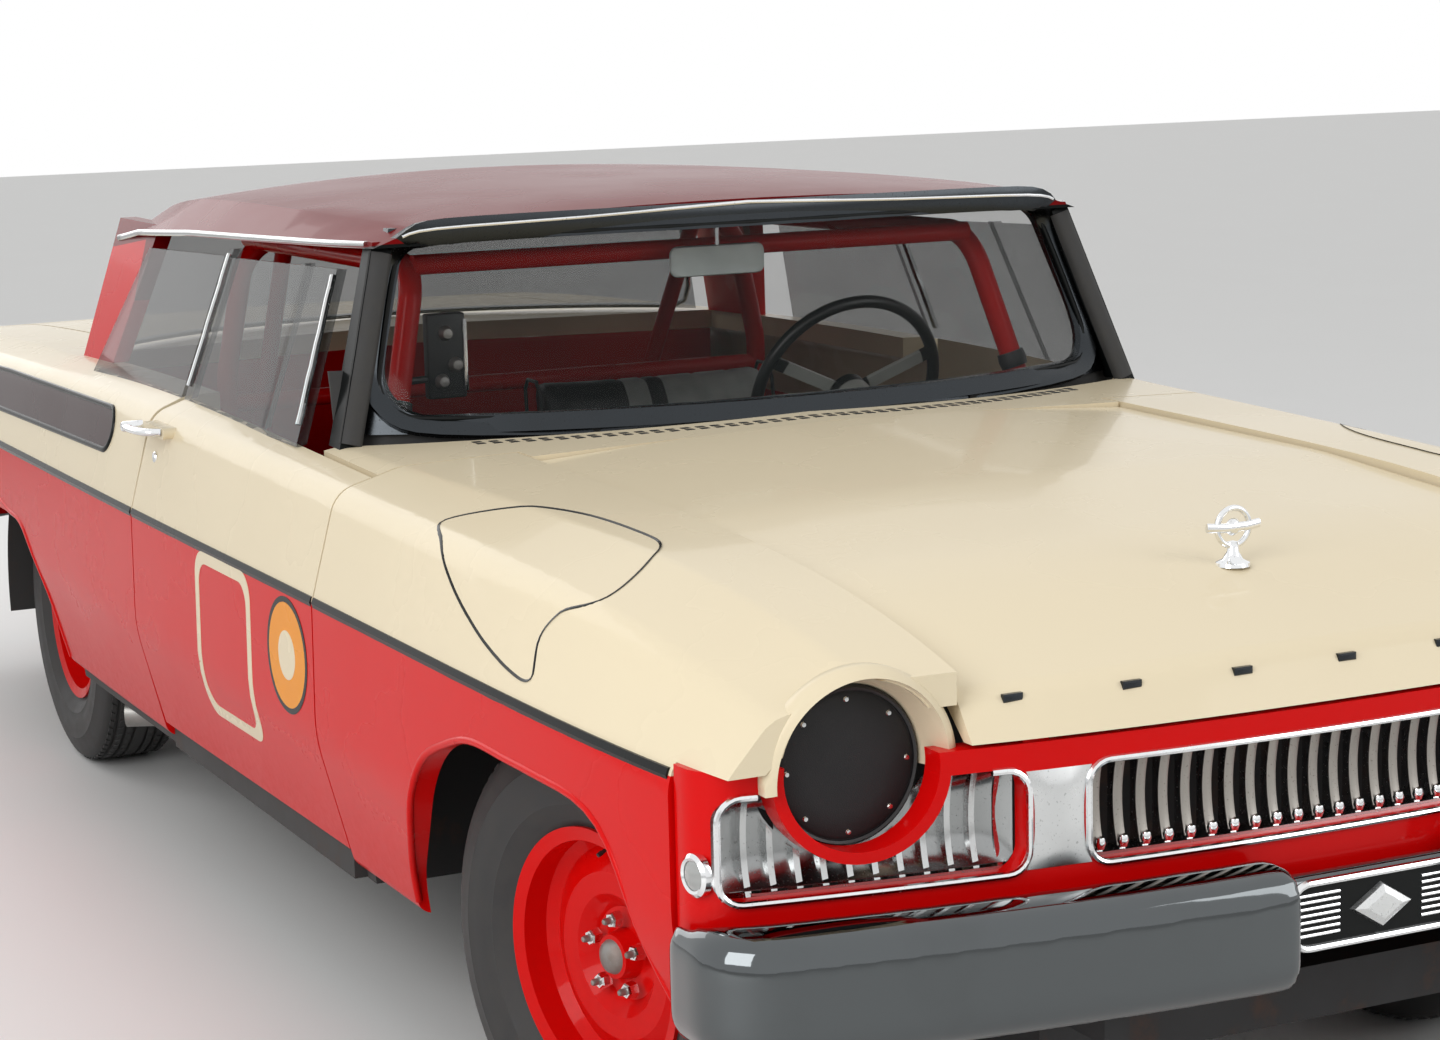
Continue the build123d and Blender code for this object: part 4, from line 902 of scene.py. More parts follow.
    def window_channels(self, side, name):
        """Bright channels on the front and rear edges of a door's glass."""
        tree = surface_of(f"door_glass_{name}")
        strip = [(-0.008, -0.004), (-0.008, 0.003), (-0.004, 0.0055), (0.004, 0.0055), (0.008, 0.003), (0.008, -0.004)]
        scans = {"front": (np.arange(0.76, 0.2, -0.003), -0.009), "rear": (np.arange(-0.2, 0.3, 0.003), 0.009)}
        for edge, (scan, inset) in scans.items():
            path = []
            for z in np.linspace(1.045, 1.306, 14):
                hit = next((h for h in (on_side(tree, x, z, side) for x in scan) if h is not None), None)
                if hit is not None:
                    path.append(on_side(tree, hit.x + inset, z, side, 0.001) or hit)
            channel = sweep(path, strip, up=(0, side, 0.2))
            add_piece(f"glass_channel_{edge}_{name}", channel, "stainless", f"door_{name}")

    def corner_seal(self, side, name):
        """Black seal that closes the windshield's lower corner against its pillar and the cowl."""
        cowl = surface_of("cowl", f"fender_{name}")
        outline = rounded_window(0.775, 1.050, 0.684, 1.378, 0.075, 12)
        outline = [(y, z) for y, z in outline if y * side > 0.30 and z < 1.17]
        ring = [hit - AHEAD * 0.006 for hit in front_hits(surface_of("windshield_trim"), outline)]
        ring.sort(key=lambda p: math.atan2(p.z - 1.17, abs(p.y) - 0.60))
        ends = []
        for p in ring:
            way = Vector((0, side * max(abs(p.y) - 0.700, 0.0), min(p.z - 1.125, -0.0001)))
            way = way.normalized() if way.length > 1e-6 else DOWN
            foot = on_top(cowl, p.x, p.y) or Vector((p.x, p.y, 0.99))
            down = (p.z - foot.z + 0.012) / max(-way.z, 1e-3)
            out = (0.829 - abs(p.y)) / max(abs(way.y), 1e-3)
            end = p + way * min(down, out)
            end.x -= 0.02 * min(max((abs(end.y) - 0.77) / 0.05, 0), 1)
            ends.append(end)
        n = len(ring)
        verts = ring + ends + [p - AHEAD * 0.006 for p in ends + ring]
        faces = net(4, n, round_rows=True) + [[r * n for r in range(4)], [r * n + n - 1 for r in range(4)]]
        add_piece(f"corner_seal_{name}", (verts, faces), "rubber", smooth=30)

    def drip_rail(self, side, name):
        """The bright gutter along one side of the roof."""
        line = [0.655 - 1.695 * i / 35 for i in range(36)]
        heights = np.interp(line, [-1.08, -0.80, -0.35, 0.30, 0.70], [1.276, 1.31, 1.334, 1.356, 1.368])
        path = side_hits(surface_of("roof"), zip(line, heights), side)
        add_piece(f"drip_rail_{name}", sweep(path, strip_section(0.013, 0.008, side)), "stainless")


class STOCKCAR_OT_brightwork(CarPiece, bpy.types.Operator):
    """Fits the bumpers, grille, mouldings and handles"""

    bl_idname = "stockcar.brightwork"
    bl_label = "Chrome and mouldings"

    def build(self, scene):
        for node in ("bumper_front", "bumper_rear"):
            self.bumper(node)
        skin("grille", "stainless", 40)
        for side, name in SIDES:
            self.moulding(scene.car_trim, side, name)
            self.handle(side, name)
            self.divider(side, name)
            self.basin(side, name)
        self.grille_frame()
        self.bar_faces()
        self.beads()

    def bumper(self, node):
        """A bumper with its edges rounded over, as pressed and plated sheet has them."""
        piece = skin(node, "bumper", 40)
        modified(piece, "REMESH", mode="VOXEL", voxel_size=0.0085)
        modified(piece, "SMOOTH", factor=0.5, iterations=14)
        soften(piece.data, 60)
        paint_over(piece, "bumper")

    def moulding(self, trim, side, name):
        """The dark strip between cream and red, with its bright line, in one length for each panel."""
        strip = strip_section(trim.moulding_width, 0.006, -side)
        line = [(-a * side - 0.0045 * side, b + trim.moulding_width * 0.36) for a, b in round_section(0.0024, 6)]
        for panel, start, end in (("fender", 2.51, 1.018), ("door", 1.008, -0.103), ("quarter", -0.113, -2.54)):
            node = f"{panel}_{name}"
            count = max(int(abs(start - end) / 0.03), 4)
            places = [(start + (end - start) * i / count, trim.moulding_z) for i in range(count + 1)]
            path = [hit for hit in side_hits(surface_of(node), places, side) if abs(hit.y) > 0.9]
            add_piece(f"moulding_{node}", sweep(path, strip), "black enamel", BODY_OF[node])
            add_piece(f"moulding_line_{node}", sweep(path, line), "chrome", BODY_OF[node])

    def handle(self, side, name):
        """A pull handle with a push button, and its keyhole below."""
        body = f"door_{name}"
        tree = surface_of(body)
        centre = on_side(tree, -0.03, 0.974, side)
        out = Vector((0, side, 0))
        bow = ((0.085, 0, 0), (0.07, 0.03, 0.002), (0, 0.036, 0), (-0.045, 0.03, 0), (-0.055, 0, 0))
        bow = smooth_path([centre + Vector((x, side * y, z)) for x, y, z in bow], 6)
        bar = sweep(bow, round_section(0.011, high=0.008))
        button = [(0.0, 0.044), (0.008, 0.043), (0.011, 0.038), (0.011, 0.0)]
        button = lathe(button, centre - AHEAD * 0.048, out, 20)
        add_piece(f"handle_{name}", joined([bar, button]), "chrome", body, 50)
        lock = [(0.0, 0.002), (0.004, 0.003), (0.010, 0.003), (0.012, 0.0)]
        lock = lathe(lock, on_side(tree, -0.02, 0.915, side), out, 24)
        add_piece(f"keyhole_{name}", lock, "chrome", body)

    def divider(self, side, name):
        """The satin upright between the middle and side grilles."""
        rows, columns = 10, 6
        verts = []
        for t in (2 * i / rows - 1 for i in range(rows + 1)):
            for u in (2 * j / columns - 1 for j in range(columns + 1)):
                y = side * 0.4715 + (0.036 + 0.012 * abs(t) ** 3) * u
                crown = 0.007 * (1 - u**2) * (1 - t**8)
                verts.append((on_nose(2.576, y) + 0.001 + crown, y, 0.707 + 0.067 * t))
        plate = blank(f"divider_{name}", (verts, net(rows + 1, columns + 1)))
        finish_piece(modified(plate, "SOLIDIFY", thickness=0.003, offset=-1), "satin")

    def grille_frame(self):
        """Thin bright frames round the middle and the side openings, open under each lamp."""
        for name, middle, width in (("middle", 0.0, 0.860), ("right", -0.728, 0.430), ("left", 0.728, 0.430)):
            outline = rounded_window(width / 2 - 0.002, 0.636, width / 2 - 0.002, 0.778, 0.032, 6)
            path = [Vector((on_nose(2.577, y + middle), y + middle, z)) for y, z in outline]
            if middle:
                path = [p for p in path if from_lamp(p.y, p.z) > 0.128]
                gap = next(i for i, p in enumerate(path) if (p - path[i - 1]).length > 0.12)
                path = path[gap:] + path[:gap]
            rim = sweep(path, round_section(0.005, 8), not middle, AHEAD)
            add_piece(f"grille_frame_{name}", rim, "chrome")

    def basin(self, side, name):
        """The pressed bright basin behind the side bars, cut round the lamp."""
        rows, columns = 24, 64
        verts = []
        for t in (2 * i / rows - 1 for i in range(rows + 1)):
            for u in (2 * j / columns - 1 for j in range(columns + 1)):
                y = side * (0.728 + 0.213 * u)
                deep = 0.030 * (1 - t**4) * (1 - u**8)
                verts.append((on_nose(2.5335, y) - deep, y, 0.7075 + 0.0655 * t))
        faces = net(rows + 1, columns + 1)
        faces = [f for f in faces if min(from_lamp(*verts[i][1:]) for i in f) > 0.106]
        sheet = modified(blank(f"grille_basin_{name}", (verts, faces)), "SOLIDIFY", thickness=0.002, offset=0)
        rework(sheet.data, turn_out)
        finish_piece(sheet, "basin")

    def bar_faces(self):
        """Crowned faces over the front edge of each middle bar of the grille."""
        tree = surface_of("grille")
        half = 0.0075
        crown = [(-half, -0.0015), (-half, 0.0002), (-half * 0.5, 0.0014)]
        crown += [(-a, b) for a, b in reversed(crown)]
        shapes = []
        for y in (BAR_PITCH * i for i in range(-12, 13)):
            path = front_hits(tree, [(y, z) for z in np.linspace(0.643, 0.772, 12)], 2.36, 3.0)
            if len(path) >= 6:
                shapes.append(sweep(path, crown, up=AHEAD))
        add_piece("grille_bar_faces", joined(shapes), "bar metal", smooth=40)

    def beads(self):
        """The bright beads at the foot of the middle bars."""
        bead = [(0.0, 0.010), (0.006, 0.008), (0.0085, 0.0), (0.006, -0.008), (0.0, -0.010)]
        places = [(on_nose(2.5357, y) - 0.002, y, 0.650) for y in (BAR_PITCH * i for i in range(-11, 12))]
        add_piece("grille_beads", joined([lathe(bead, place, ABOVE, 12) for place in places]), "chrome")


class STOCKCAR_OT_lamps(CarPiece, bpy.types.Operator):
    """Closes the headlamps with their round covers and adds the other lamps"""

    bl_idname = "stockcar.lamps"
    bl_label = "Lamps"

    def build(self, scene):
        skins(28, ("lamp cover", "headlamps"), ("red lens", "tail_lamps"))
        for side, name in SIDES:
            self.cover(side, name, scene.car_trim.lamp_screws)
            self.marker(side, name)
            self.brow(side, name)

    def cover(self, side, name, screws):
        """A headlamp's flat cover, its screws and its rim."""
        centre = (2.4703, side * LAMP_ACROSS, LAMP_HEIGHT)
        disc = lathe([(0.0, 0.004), (0.06, 0.004), (0.094, 0.003), (0.0985, 0.0)], centre, AHEAD, 64)
        add_piece(f"lamp_cover_{name}", disc, "lamp cover")
        screw = lathe([(0.0, 0.0022), (0.003, 0.002), (0.0045, 0.0)], (0, 0, 0), ABOVE, 8)
        face = facing((2.4733, side * LAMP_ACROSS, LAMP_HEIGHT), AHEAD)
        repeated(f"lamp_screws_{name}", screw, "stainless", "car", screws, 0.089, face)
        rim = [(0.1005, -0.012), (0.1005, 0.002), (0.104, 0.004), (0.108, 0.0), (0.108, -0.012)]
        add_piece(f"lamp_rim_{name}", lathe(rim, centre, AHEAD, 64, ring=True), "black plastic")

    def brow(self, side, name):
        """The cream hood over a headlamp: a funnel from the cover out to its rounded lip."""
        lamp = Vector((2.462, side * LAMP_ACROSS, LAMP_HEIGHT))
        inner, lip, back = [], [], []
        for a in (math.radians(degrees) for degrees in range(-6, 187, 4)):
            ring = Vector((0, -side * math.cos(a), math.sin(a)))
            inner.append(lamp + ring * 0.106)
            lip.append(lamp + ring * 0.1265 + AHEAD * (0.058 + 0.010 * math.sin(a)))
            back.append(lamp + ring * 0.141 + AHEAD * 0.052)
        rows = [
            [a.lerp(b, t) - AHEAD * (0.012 * t * (1 - t) * 2) for a, b in zip(inner, lip)]
            for t in (0.0, 0.3, 0.6, 0.85)
        ]
        rows += [lip, [a.lerp(b, 0.5) + AHEAD * 0.001 for a, b in zip(lip, back)], back]
        rows += [[p - AHEAD * 0.020 for p in back], [p - AHEAD * 0.016 for p in inner]]
        count, n = len(rows), len(inner)
        faces = net(count, n, round_rows=True) + [[r * n for r in range(count)], [r * n + n - 1 for r in range(count)]]
        add_piece(f"lamp_brow_{name}", (sum(rows, []), faces), "cream", smooth=60)

    def marker(self, side, name):
        """The small round side lamp behind the bumper's end."""
        seat = on_side(surface_of("fender_left", "fender_right", "front_panel"), 2.449, 0.674, side)
        out = Vector((0.15, side, 0)).normalized()
        rim = [(0.020, -0.004), (0.020, 0.007), (0.024, 0.009), (0.029, 0.005), (0.030, -0.004)]
        add_piece(f"marker_rim_{name}", lathe(rim, seat, out, 32, ring=True), "chrome")
        lens = [(0.0, 0.012), (0.010, 0.011), (0.0195, 0.006), (0.0195, -0.003)]
        add_piece(f"marker_lens_{name}", lathe(lens, seat, out, 32), "clear lens")


# Half of a tyre's outer form, from the bead out to the middle of the tread, as (radius, across)
TYRE_WALL = [
    (0.1945, 0.076), (0.213, 0.080), (0.222, 0.088), (0.232, 0.0935), (0.240, 0.0985), (0.243, 0.1003),
    (0.247, 0.0996), (0.262, 0.1035), (0.284, 0.1055), (0.300, 0.1045), (0.303, 0.1052), (0.306, 0.1035),
    (0.326, 0.0985), (0.340, 0.0925), (0.348, 0.0880),
]
TYRE_CROWN = [
    (0.3530, 0.0800), (0.3555, 0.0660), (0.3565, 0.0655), (0.3505, 0.0640), (0.3505, 0.0590),
    (0.3572, 0.0575), (0.3580, 0.0420), (0.3518, 0.0405), (0.3518, 0.0355), (0.3588, 0.0340),
    (0.3594, 0.0200), (0.3528, 0.0185), (0.3528, 0.0135), (0.3596, 0.0120), (0.3598, 0.0),
]
TYRE_INSIDE = [(0.1945, -0.066), (0.266, -0.094), (0.338, -0.074), (0.338, 0.074), (0.266, 0.094), (0.1945, 0.066)]


class STOCKCAR_OT_wheels(CarPiece, bpy.types.Operator):
    """Turns the tyres with their tread and fits the steel wheels"""

    bl_idname = "stockcar.wheels"
    bl_label = "Wheels and tyres"

    def build(self, scene):
        for name in ("front_right", "front_left", "rear_right", "rear_left"):
            centre, axis = wheel_line(f"tyre_{name}")
            self.tyre(scene.car_wheels, name, centre, axis)
            skin(f"rim_{name}", "wheel", 30)
            self.fasteners(scene.car_wheels, name, centre, axis)
        skins(28, ("iron", "knuckle_left knuckle_right"))

    def tyre(self, sizes, name, centre, axis):
        """The tyre's turned form, with ribs on its walls and blocks round its tread."""
        body = f"wheel_{name}"
        half = TYRE_WALL + TYRE_CROWN
        profile = half + [(r, -a) for r, a in reversed(half[:-1])] + TYRE_INSIDE
        turned = lathe(profile, centre, axis, 96, ring=True)
        tyre = add_piece(f"tyre_{name}_moulded", turned, "tyre", body, 40)
        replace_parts(tyre, f"tyre_{name}")
        for rib, across in enumerate((-0.073, -0.0495, -0.027, 0.027, 0.0495, 0.073)):
            width, top = (0.0115, 0.3575) if abs(across) > 0.06 else (0.013, 0.3599)
            block = tread_block(0.0185, width, 0.008, 0.006 if rib % 2 else -0.006)
            place = facing(centre + axis * across, axis) @ Matrix.Rotation(rib * 0.9, 4, "Z")
            repeated(f"tread_{name}_{rib}", block, "tyre", body, sizes.tread_blocks, top - 0.008, place, 30)

    def fasteners(self, sizes, name, centre, axis):
        """Lug nuts, their studs, the dust cap and the valve."""
        body = f"wheel_{name}"
        ring = (body, sizes.lug_nuts, sizes.nut_circle, facing(centre + axis * WHEEL_DISC_OUT, axis))
        repeated(f"lug_nuts_{name}", hex_nut(sizes.nut_size, 0.017), "chrome", *ring, 25)
        stud = lathe([(0.0, 0.030), (0.004, 0.029), (0.0055, 0.026), (0.0055, 0.0)], (0, 0, 0), ABOVE, 12)
        repeated(f"studs_{name}", stud, "bare steel", *ring)
        dome = [(0.0, 0.062), (0.014, 0.0605), (0.024, 0.055), (0.027, 0.049), (0.029, 0.047), (0.029, 0.030)]
        add_piece(f"dust_cap_{name}", lathe(dome, centre, axis, 32), "bare steel", body)
        seat = centre + ABOVE * 0.178 + axis * 0.030
        stem = [(0.0, 0.042), (0.0035, 0.042), (0.004, 0.034), (0.003, 0.033), (0.003, 0.020), (0.0055, 0.018)]
        stem = lathe([*stem, (0.0065, 0.0)], seat, (axis * 0.9 - ABOVE * 0.35).normalized(), 14)
        add_piece(f"valve_{name}", stem, "black plastic", body)


def hex_nut(radius, height):
    """A nut with a chamfered top and a hole shown by its ring."""
    top = [(0.0055, height - 0.001), (radius * 0.62, height), (radius * 0.86, height), (radius, height - 0.003)]
    return lathe([*top, (radius, 0.004), (radius * 1.12, 0.0)], (0, 0, 0), ABOVE, 6)


def tread_block(long, width, height, lean):
    """One leaning block of the tread, its height along X, its width along Z."""
    verts = [
        (x, y * long / 2 * trim + lean * z * 0.5, z * width / 2 * trim)
        for x, trim in ((0.0, 1.0), (height, 0.86))
        for y, z in ((-1, -1), (1, -1), (1, 1), (-1, 1))
    ]
    return verts, [(0, 3, 2, 1), (4, 5, 6, 7), (0, 1, 5, 4), (1, 2, 6, 5), (2, 3, 7, 6), (3, 0, 4, 7)]


def wheel_line(node):
    """A wheel's centre and its axis outwards, measured on its CAD tyre."""
    points = points_of(frame["nodes"][node].data)
    centre = (points.min(0) + points.max(0)) / 2
    axis = Vector(np.linalg.eigh(np.cov((points - points.mean(0)).T))[1][:, 0])
    axis.z = 0
    axis.normalize()
    return Vector(centre), -axis if axis.y * centre[1] < 0 else axis


# The side outlines of the seat's two pads, as (x, z), and how far they reach across
CUSHION = [(0.128, 0.418), (0.132, 0.500), (0.100, 0.520), (-0.270, 0.502), (-0.305, 0.470), (-0.318, 0.418)]
SEAT_BACK = [
    (-0.330, 0.412), (-0.318, 0.500), (-0.392, 0.925), (-0.412, 0.952),
    (-0.462, 0.952), (-0.478, 0.930), (-0.428, 0.412),
]
SEAT_ENDS = (0.030, 0.598)


class STOCKCAR_OT_cabin(CarPiece, bpy.types.Operator):
    """Upholsters the seat and finishes the cage, dash, wheel and mirror"""

    bl_idname = "stockcar.cabin"
    bl_label = "Cabin"

    def build(self, scene):
        skins(35, ("cage", "roll_cage rear_bulkhead"), ("dash", "dashboard"), ("frame", "seat_frame"))
        skins(35, ("black plastic", "steering_column"), ("steering", "steering_wheel"))
        self.seat(scene.car_cabin)
        self.gauges()
        self.wheel_trim()
        self.cage_clamps()
        self.mirror()
        self.switch_box()
        self.shifter()

    def seat(self, cabin):
        """A stuffed cushion and a stuffed back, each settled by a cloth run."""
        low = pad("seat_cushion_pad", CUSHION, cabin, 0.010)
        high = pad("seat_back_pad", SEAT_BACK, cabin, 0.012)
        for piece in (low, high):
            press_channels(piece.data)
            finish_piece(piece, "seat", "car", 60)
        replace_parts(low, "driver_seat")
        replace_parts(high, "driver_seat")
        for y in (0.022, 0.606):
            piping = sweep([(x, y, z) for x, z in SEAT_BACK], round_section(0.0045, 8), True, ACROSS)
            add_piece(f"seat_piping_{int(y * 1000)}", piping, "black plastic")

    def gauges(self):
        """Round instruments let into the dash before the driver."""
        axis = Vector((-1, 0, 0.25)).normalized()
        up = Vector((0.25, 0, 1)).normalized()
        for i, (y, radius) in enumerate(((0.55, 0.040), (0.455, 0.058), (0.335, 0.058), (0.24, 0.040))):
            centre = Vector((0.5625, y, 0.915))
            inner = radius - 0.004
            bezel = [(radius - 0.006, 0.002), (inner, 0.012), (radius, 0.013), (radius + 0.003, 0.002)]
            add_piece(f"gauge_ring_{i}", lathe(bezel, centre, axis, 40, ring=True), "chrome")
            dial = lathe([(0.0, 0.0045), (inner, 0.004), (inner, -0.004)], centre, axis, 40)
            add_piece(f"gauge_face_{i}", dial, "black plastic")
            foot = centre + axis * 0.007
            tip = foot + (up + ACROSS * (0.6 - 0.4 * i)).normalized() * radius * 0.72
            needle = sweep([foot - up * radius * 0.1, tip], round_section(0.0012, 6), up=AHEAD)
            add_piece(f"gauge_needle_{i}", needle, "badge")
            tick = box((radius * 0.72, -0.0006, 0), (radius * 0.86, 0.0006, 0.0008))
            place = facing(centre + axis * 0.0045, axis)
            repeated(f"gauge_ticks_{i}", tick, "pale strip", "car", 24, 0.00001, place)

    def wheel_trim(self):
        """Pale covers on the steering wheel's spokes and its bright centre cap."""
        centre = Vector(STEERING_CENTRE)
        tilt = math.radians(22)
        axis = Vector((-math.cos(tilt), 0, math.sin(tilt)))
        dome = lathe([(0.0, 0.010), (0.018, 0.009), (0.034, 0.002), (0.040, -0.008)], centre, axis, 40)
        add_piece("wheel_cap", dome, "chrome", "steering_wheel")
        up = axis.cross(ACROSS)
        for i, a in enumerate(math.radians(turn) for turn in (205, 335, 90)):
            run = ACROSS * math.cos(a) + up * math.sin(a)
            cross = axis.cross(run)
            verts = [
                centre + run * reach + cross * across + axis * lift
                for reach, half in ((0.044, 0.011), (0.12, 0.009), (0.188, 0.0085))
                for across, lift in ((-half, -0.0055), (-half * 0.7, -0.0015), (half * 0.7, -0.0015), (half, -0.0055))
            ]
            faces = net(3, 4) + [(0, 4, 8, 11, 7, 3), (0, 1, 2, 3), (8, 9, 10, 11)]
            add_piece(f"wheel_spoke_{i}", (verts, faces), "pale strip", "steering_wheel")

    def cage_clamps(self):
        """Clamps on the cage's front legs."""
        clamp = [(0.0225, -0.016), (0.0225, 0.016), (0.027, 0.016), (0.029, 0.0), (0.027, -0.016)]
        for side, name in SIDES:
            for k, z in enumerate((0.78, 1.05)):
                lean = max(z - 0.96, 0) / 0.352
                centre = (0.600 - 0.08 * lean, side * (0.690 - 0.09 * lean), z)
                axis = (-0.08, -side * 0.09, 0.352) if z > 0.96 else ABOVE
                add_piece(f"cage_clamp_{name}_{k}", lathe(clamp, centre, axis, 28, ring=True), "black plastic")

    def switch_box(self):
        """The black switch panel beside the cage's right front leg."""
        block = blank("switch_box", box((0.530, -0.592, 1.062), (0.556, -0.516, 1.222)))
        finish_piece(modified(block, "BEVEL", width=0.004, segments=3), "black plastic")
        edge = [(0.558, -0.518, 1.075), (0.558, -0.518, 1.210)]
        add_piece("switch_box_edge", sweep(edge, round_section(0.003, 8, 0.0045), up=ACROSS), "chrome")
        knob = [(0.0, 0.016), (0.009, 0.015), (0.012, 0.010), (0.015, 0.0)]
        places = ((0.555, -0.556, 1.185), (0.555, -0.538, 1.125), (0.555, -0.566, 1.095))
        add_piece("switch_box_knobs", joined([lathe(knob, place, AHEAD, 20) for place in places]), "bare steel")
        arm = sweep([(0.543, -0.585, 1.10), (0.560, -0.640, 1.10)], round_section(0.007))
        add_piece("switch_box_arm", arm, "black plastic")

    def mirror(self):
        """The inside mirror: its shell, its silvered face and the stalk up to the roof."""
        shell = plaque(0.100, 0.0295, 0.016, 6, ((0.95, 0.5752), (1.0, 0.5785), (1.0, 0.5865), (0.93, 0.5910)))
        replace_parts(add_piece("mirror_shell", shell, "mirror shell", "car", 40), "mirror")
        top = surface_of("roof").ray_cast(Vector((0.583, 0.0, 1.33)), ABOVE)[0].z - 0.0005
        stalk = sweep([(0.583, 0, 1.300), (0.583, 0, top)], round_section(0.005), up=AHEAD)
        cup = lathe([(0.016, 0.0), (0.015, -0.006), (0.007, -0.014), (0.0045, -0.016)], (0.583, 0, top), ABOVE, 24)
        add_piece("mirror_stalk", joined([stalk, cup]), "chrome")
        add_piece("mirror_glass", plaque(0.094, 0.0245, 0.014, 5, ((1.0, 0.5745), (0.97, 0.5738))), "mirror")

    def shifter(self):
        """A floor shift lever in its rubber boot."""
        boot = [
            (0.055, 0.0), (0.052, 0.006), (0.040, 0.012), (0.042, 0.020),
            (0.030, 0.028), (0.032, 0.036), (0.018, 0.046), (0.008, 0.052),
        ]
        add_piece("shift_boot", lathe(boot, (0.34, 0.02, 0.501), ABOVE, 28), "rubber")
        rod = smooth_path([(0.34, 0.02, 0.54), (0.335, 0.02, 0.62), (0.29, 0.03, 0.70), (0.25, 0.04, 0.755)])
        add_piece("shift_lever", sweep(rod, round_section(0.006), up=ACROSS), "chrome")
        knob = [(0.0, 0.030), (0.014, 0.026), (0.021, 0.012), (0.021, 0.0), (0.014, -0.013), (0.006, -0.018)]
        add_piece("shift_knob", lathe(knob, (0.245, 0.041, 0.765), (-0.5, 0.1, 1), 24), "black plastic")


def plaque(half, tall, radius, steps, layers):
    """The mirror's rounded outline in layers of (scale, x), from its face back."""
    middle = 1.292
    outline = rounded_window(half, middle - tall, half, middle + tall, radius, steps)
    verts = [(x, p.x * scale, middle + (p.y - middle) * scale) for scale, x in layers for p in outline]
    n, count = len(outline), len(layers)
    return verts, net(count, n, round_columns=True) + [cap(0, n), cap(count - 1, n)]


def pad(name, outline, cabin, travel):
    """A padded block from its side outline: remeshed, swelled by a cloth run, its travel capped."""
    n = len(outline)
    verts = [(x, y, z) for y in SEAT_ENDS for x, z in outline]
    faces = [cap(0, n), cap(1, n)[::-1]] + [(i, n + i, n + (i + 1) % n, (i + 1) % n) for i in range(n)]

    def round_edges(work):
        turn_out(work)
        bmesh.ops.bevel(work, geom=work.edges[:], offset=0.016, segments=3, affect="EDGES", profile=0.5)

    piece = modified(blank(name, (verts, faces), round_edges), "REMESH", mode="VOXEL", voxel_size=0.009)
    start = points_of(piece.data)
    cloth = piece.modifiers.new("padding", "CLOTH")
    cloth.settings.use_pressure = True
    cloth.settings.uniform_pressure_force = 4.0
    cloth.settings.effector_weights.gravity = 0
    for step in range(1, cabin.cloth_frames + 2):
        bpy.context.scene.frame_set(step)
    bake_modifiers(piece)
    bpy.context.scene.frame_set(1)
    move = points_of(piece.data) - start
    reach = np.linalg.norm(move, axis=1, keepdims=True)
    move_points(piece.data, start + move * np.minimum(1.0, travel / np.maximum(reach, 1e-9)))
    return piece


def press_channels(mesh):
    """Presses the sewn channels that run up the seat."""
    points = points_of(mesh)
    normals = np.array([v.normal for v in mesh.vertices])
    seams = ((points[:, 1:2] - (0.235, 0.292, 0.332, 0.425, 0.515)) / 0.006) ** 2
    move_points(mesh, points - normals * (0.0035 * np.exp(-seams)).sum(1, keepdims=True))


class STOCKCAR_OT_running_gear(CarPiece, bpy.types.Operator):
    """Finishes the chassis, engine, axles and pipes"""

    bl_idname = "stockcar.running_gear"
    bl_label = "Running gear"

    def build(self, scene):
        skins(35, ("frame", "chassis_frame"), ("floor", "floor"), ("frame", "firewall"), ("iron", "engine"))
        skins(35, ("frame", "engine_bay radiator"), ("iron", "front_suspension"), ("frame", "rear_axle"))
        skins(35, ("bare steel", "exhaust fuel_tank"))
        for side, name in SIDES:
            self.wheelhouse(side, name)

    def wheelhouse(self, side, name):
        """The dark inner arch over a rear wheel: its roof and its inner wall."""
        centre = wheel_line(f"tyre_rear_{name}")[0]
        roof = [(0.235, 0.634), (0.401, 0.634), (0.405, 0.638), (0.405, 0.900)]
        section = [*roof, (0.402, 0.900), (0.402, 0.641), (0.235, 0.637)]
        arc = np.linspace(math.radians(-8), math.radians(188), 37)
        verts = [(centre.x + r * math.cos(a), side * y, centre.z + r * math.sin(a)) for a in arc for r, y in section]
        n = len(section)
        faces = net(len(arc), n, round_columns=True) + [cap(0, n), cap(len(arc) - 1, n)]
        add_piece(f"wheelhouse_{name}", (verts, faces), "floor", smooth=40)


# The outlined shape on the right fender, mirrored for the left
FENDER_OUTLINE = [
    (1.411, -0.892, 0.984), (1.495, -0.797, 1.008), (1.620, -0.745, 1.009), (1.780, -0.729, 1.004),
    (1.888, -0.737, 1.000), (1.973, -0.808, 0.983), (2.023, -0.894, 0.957), (1.960, -0.929, 0.933),
    (1.925, -0.946, 0.892), (1.938, -0.970, 0.838), (1.865, -0.971, 0.836), (1.732, -0.963, 0.863),
    (1.599, -0.950, 0.908), (1.490, -0.925, 0.960),
]


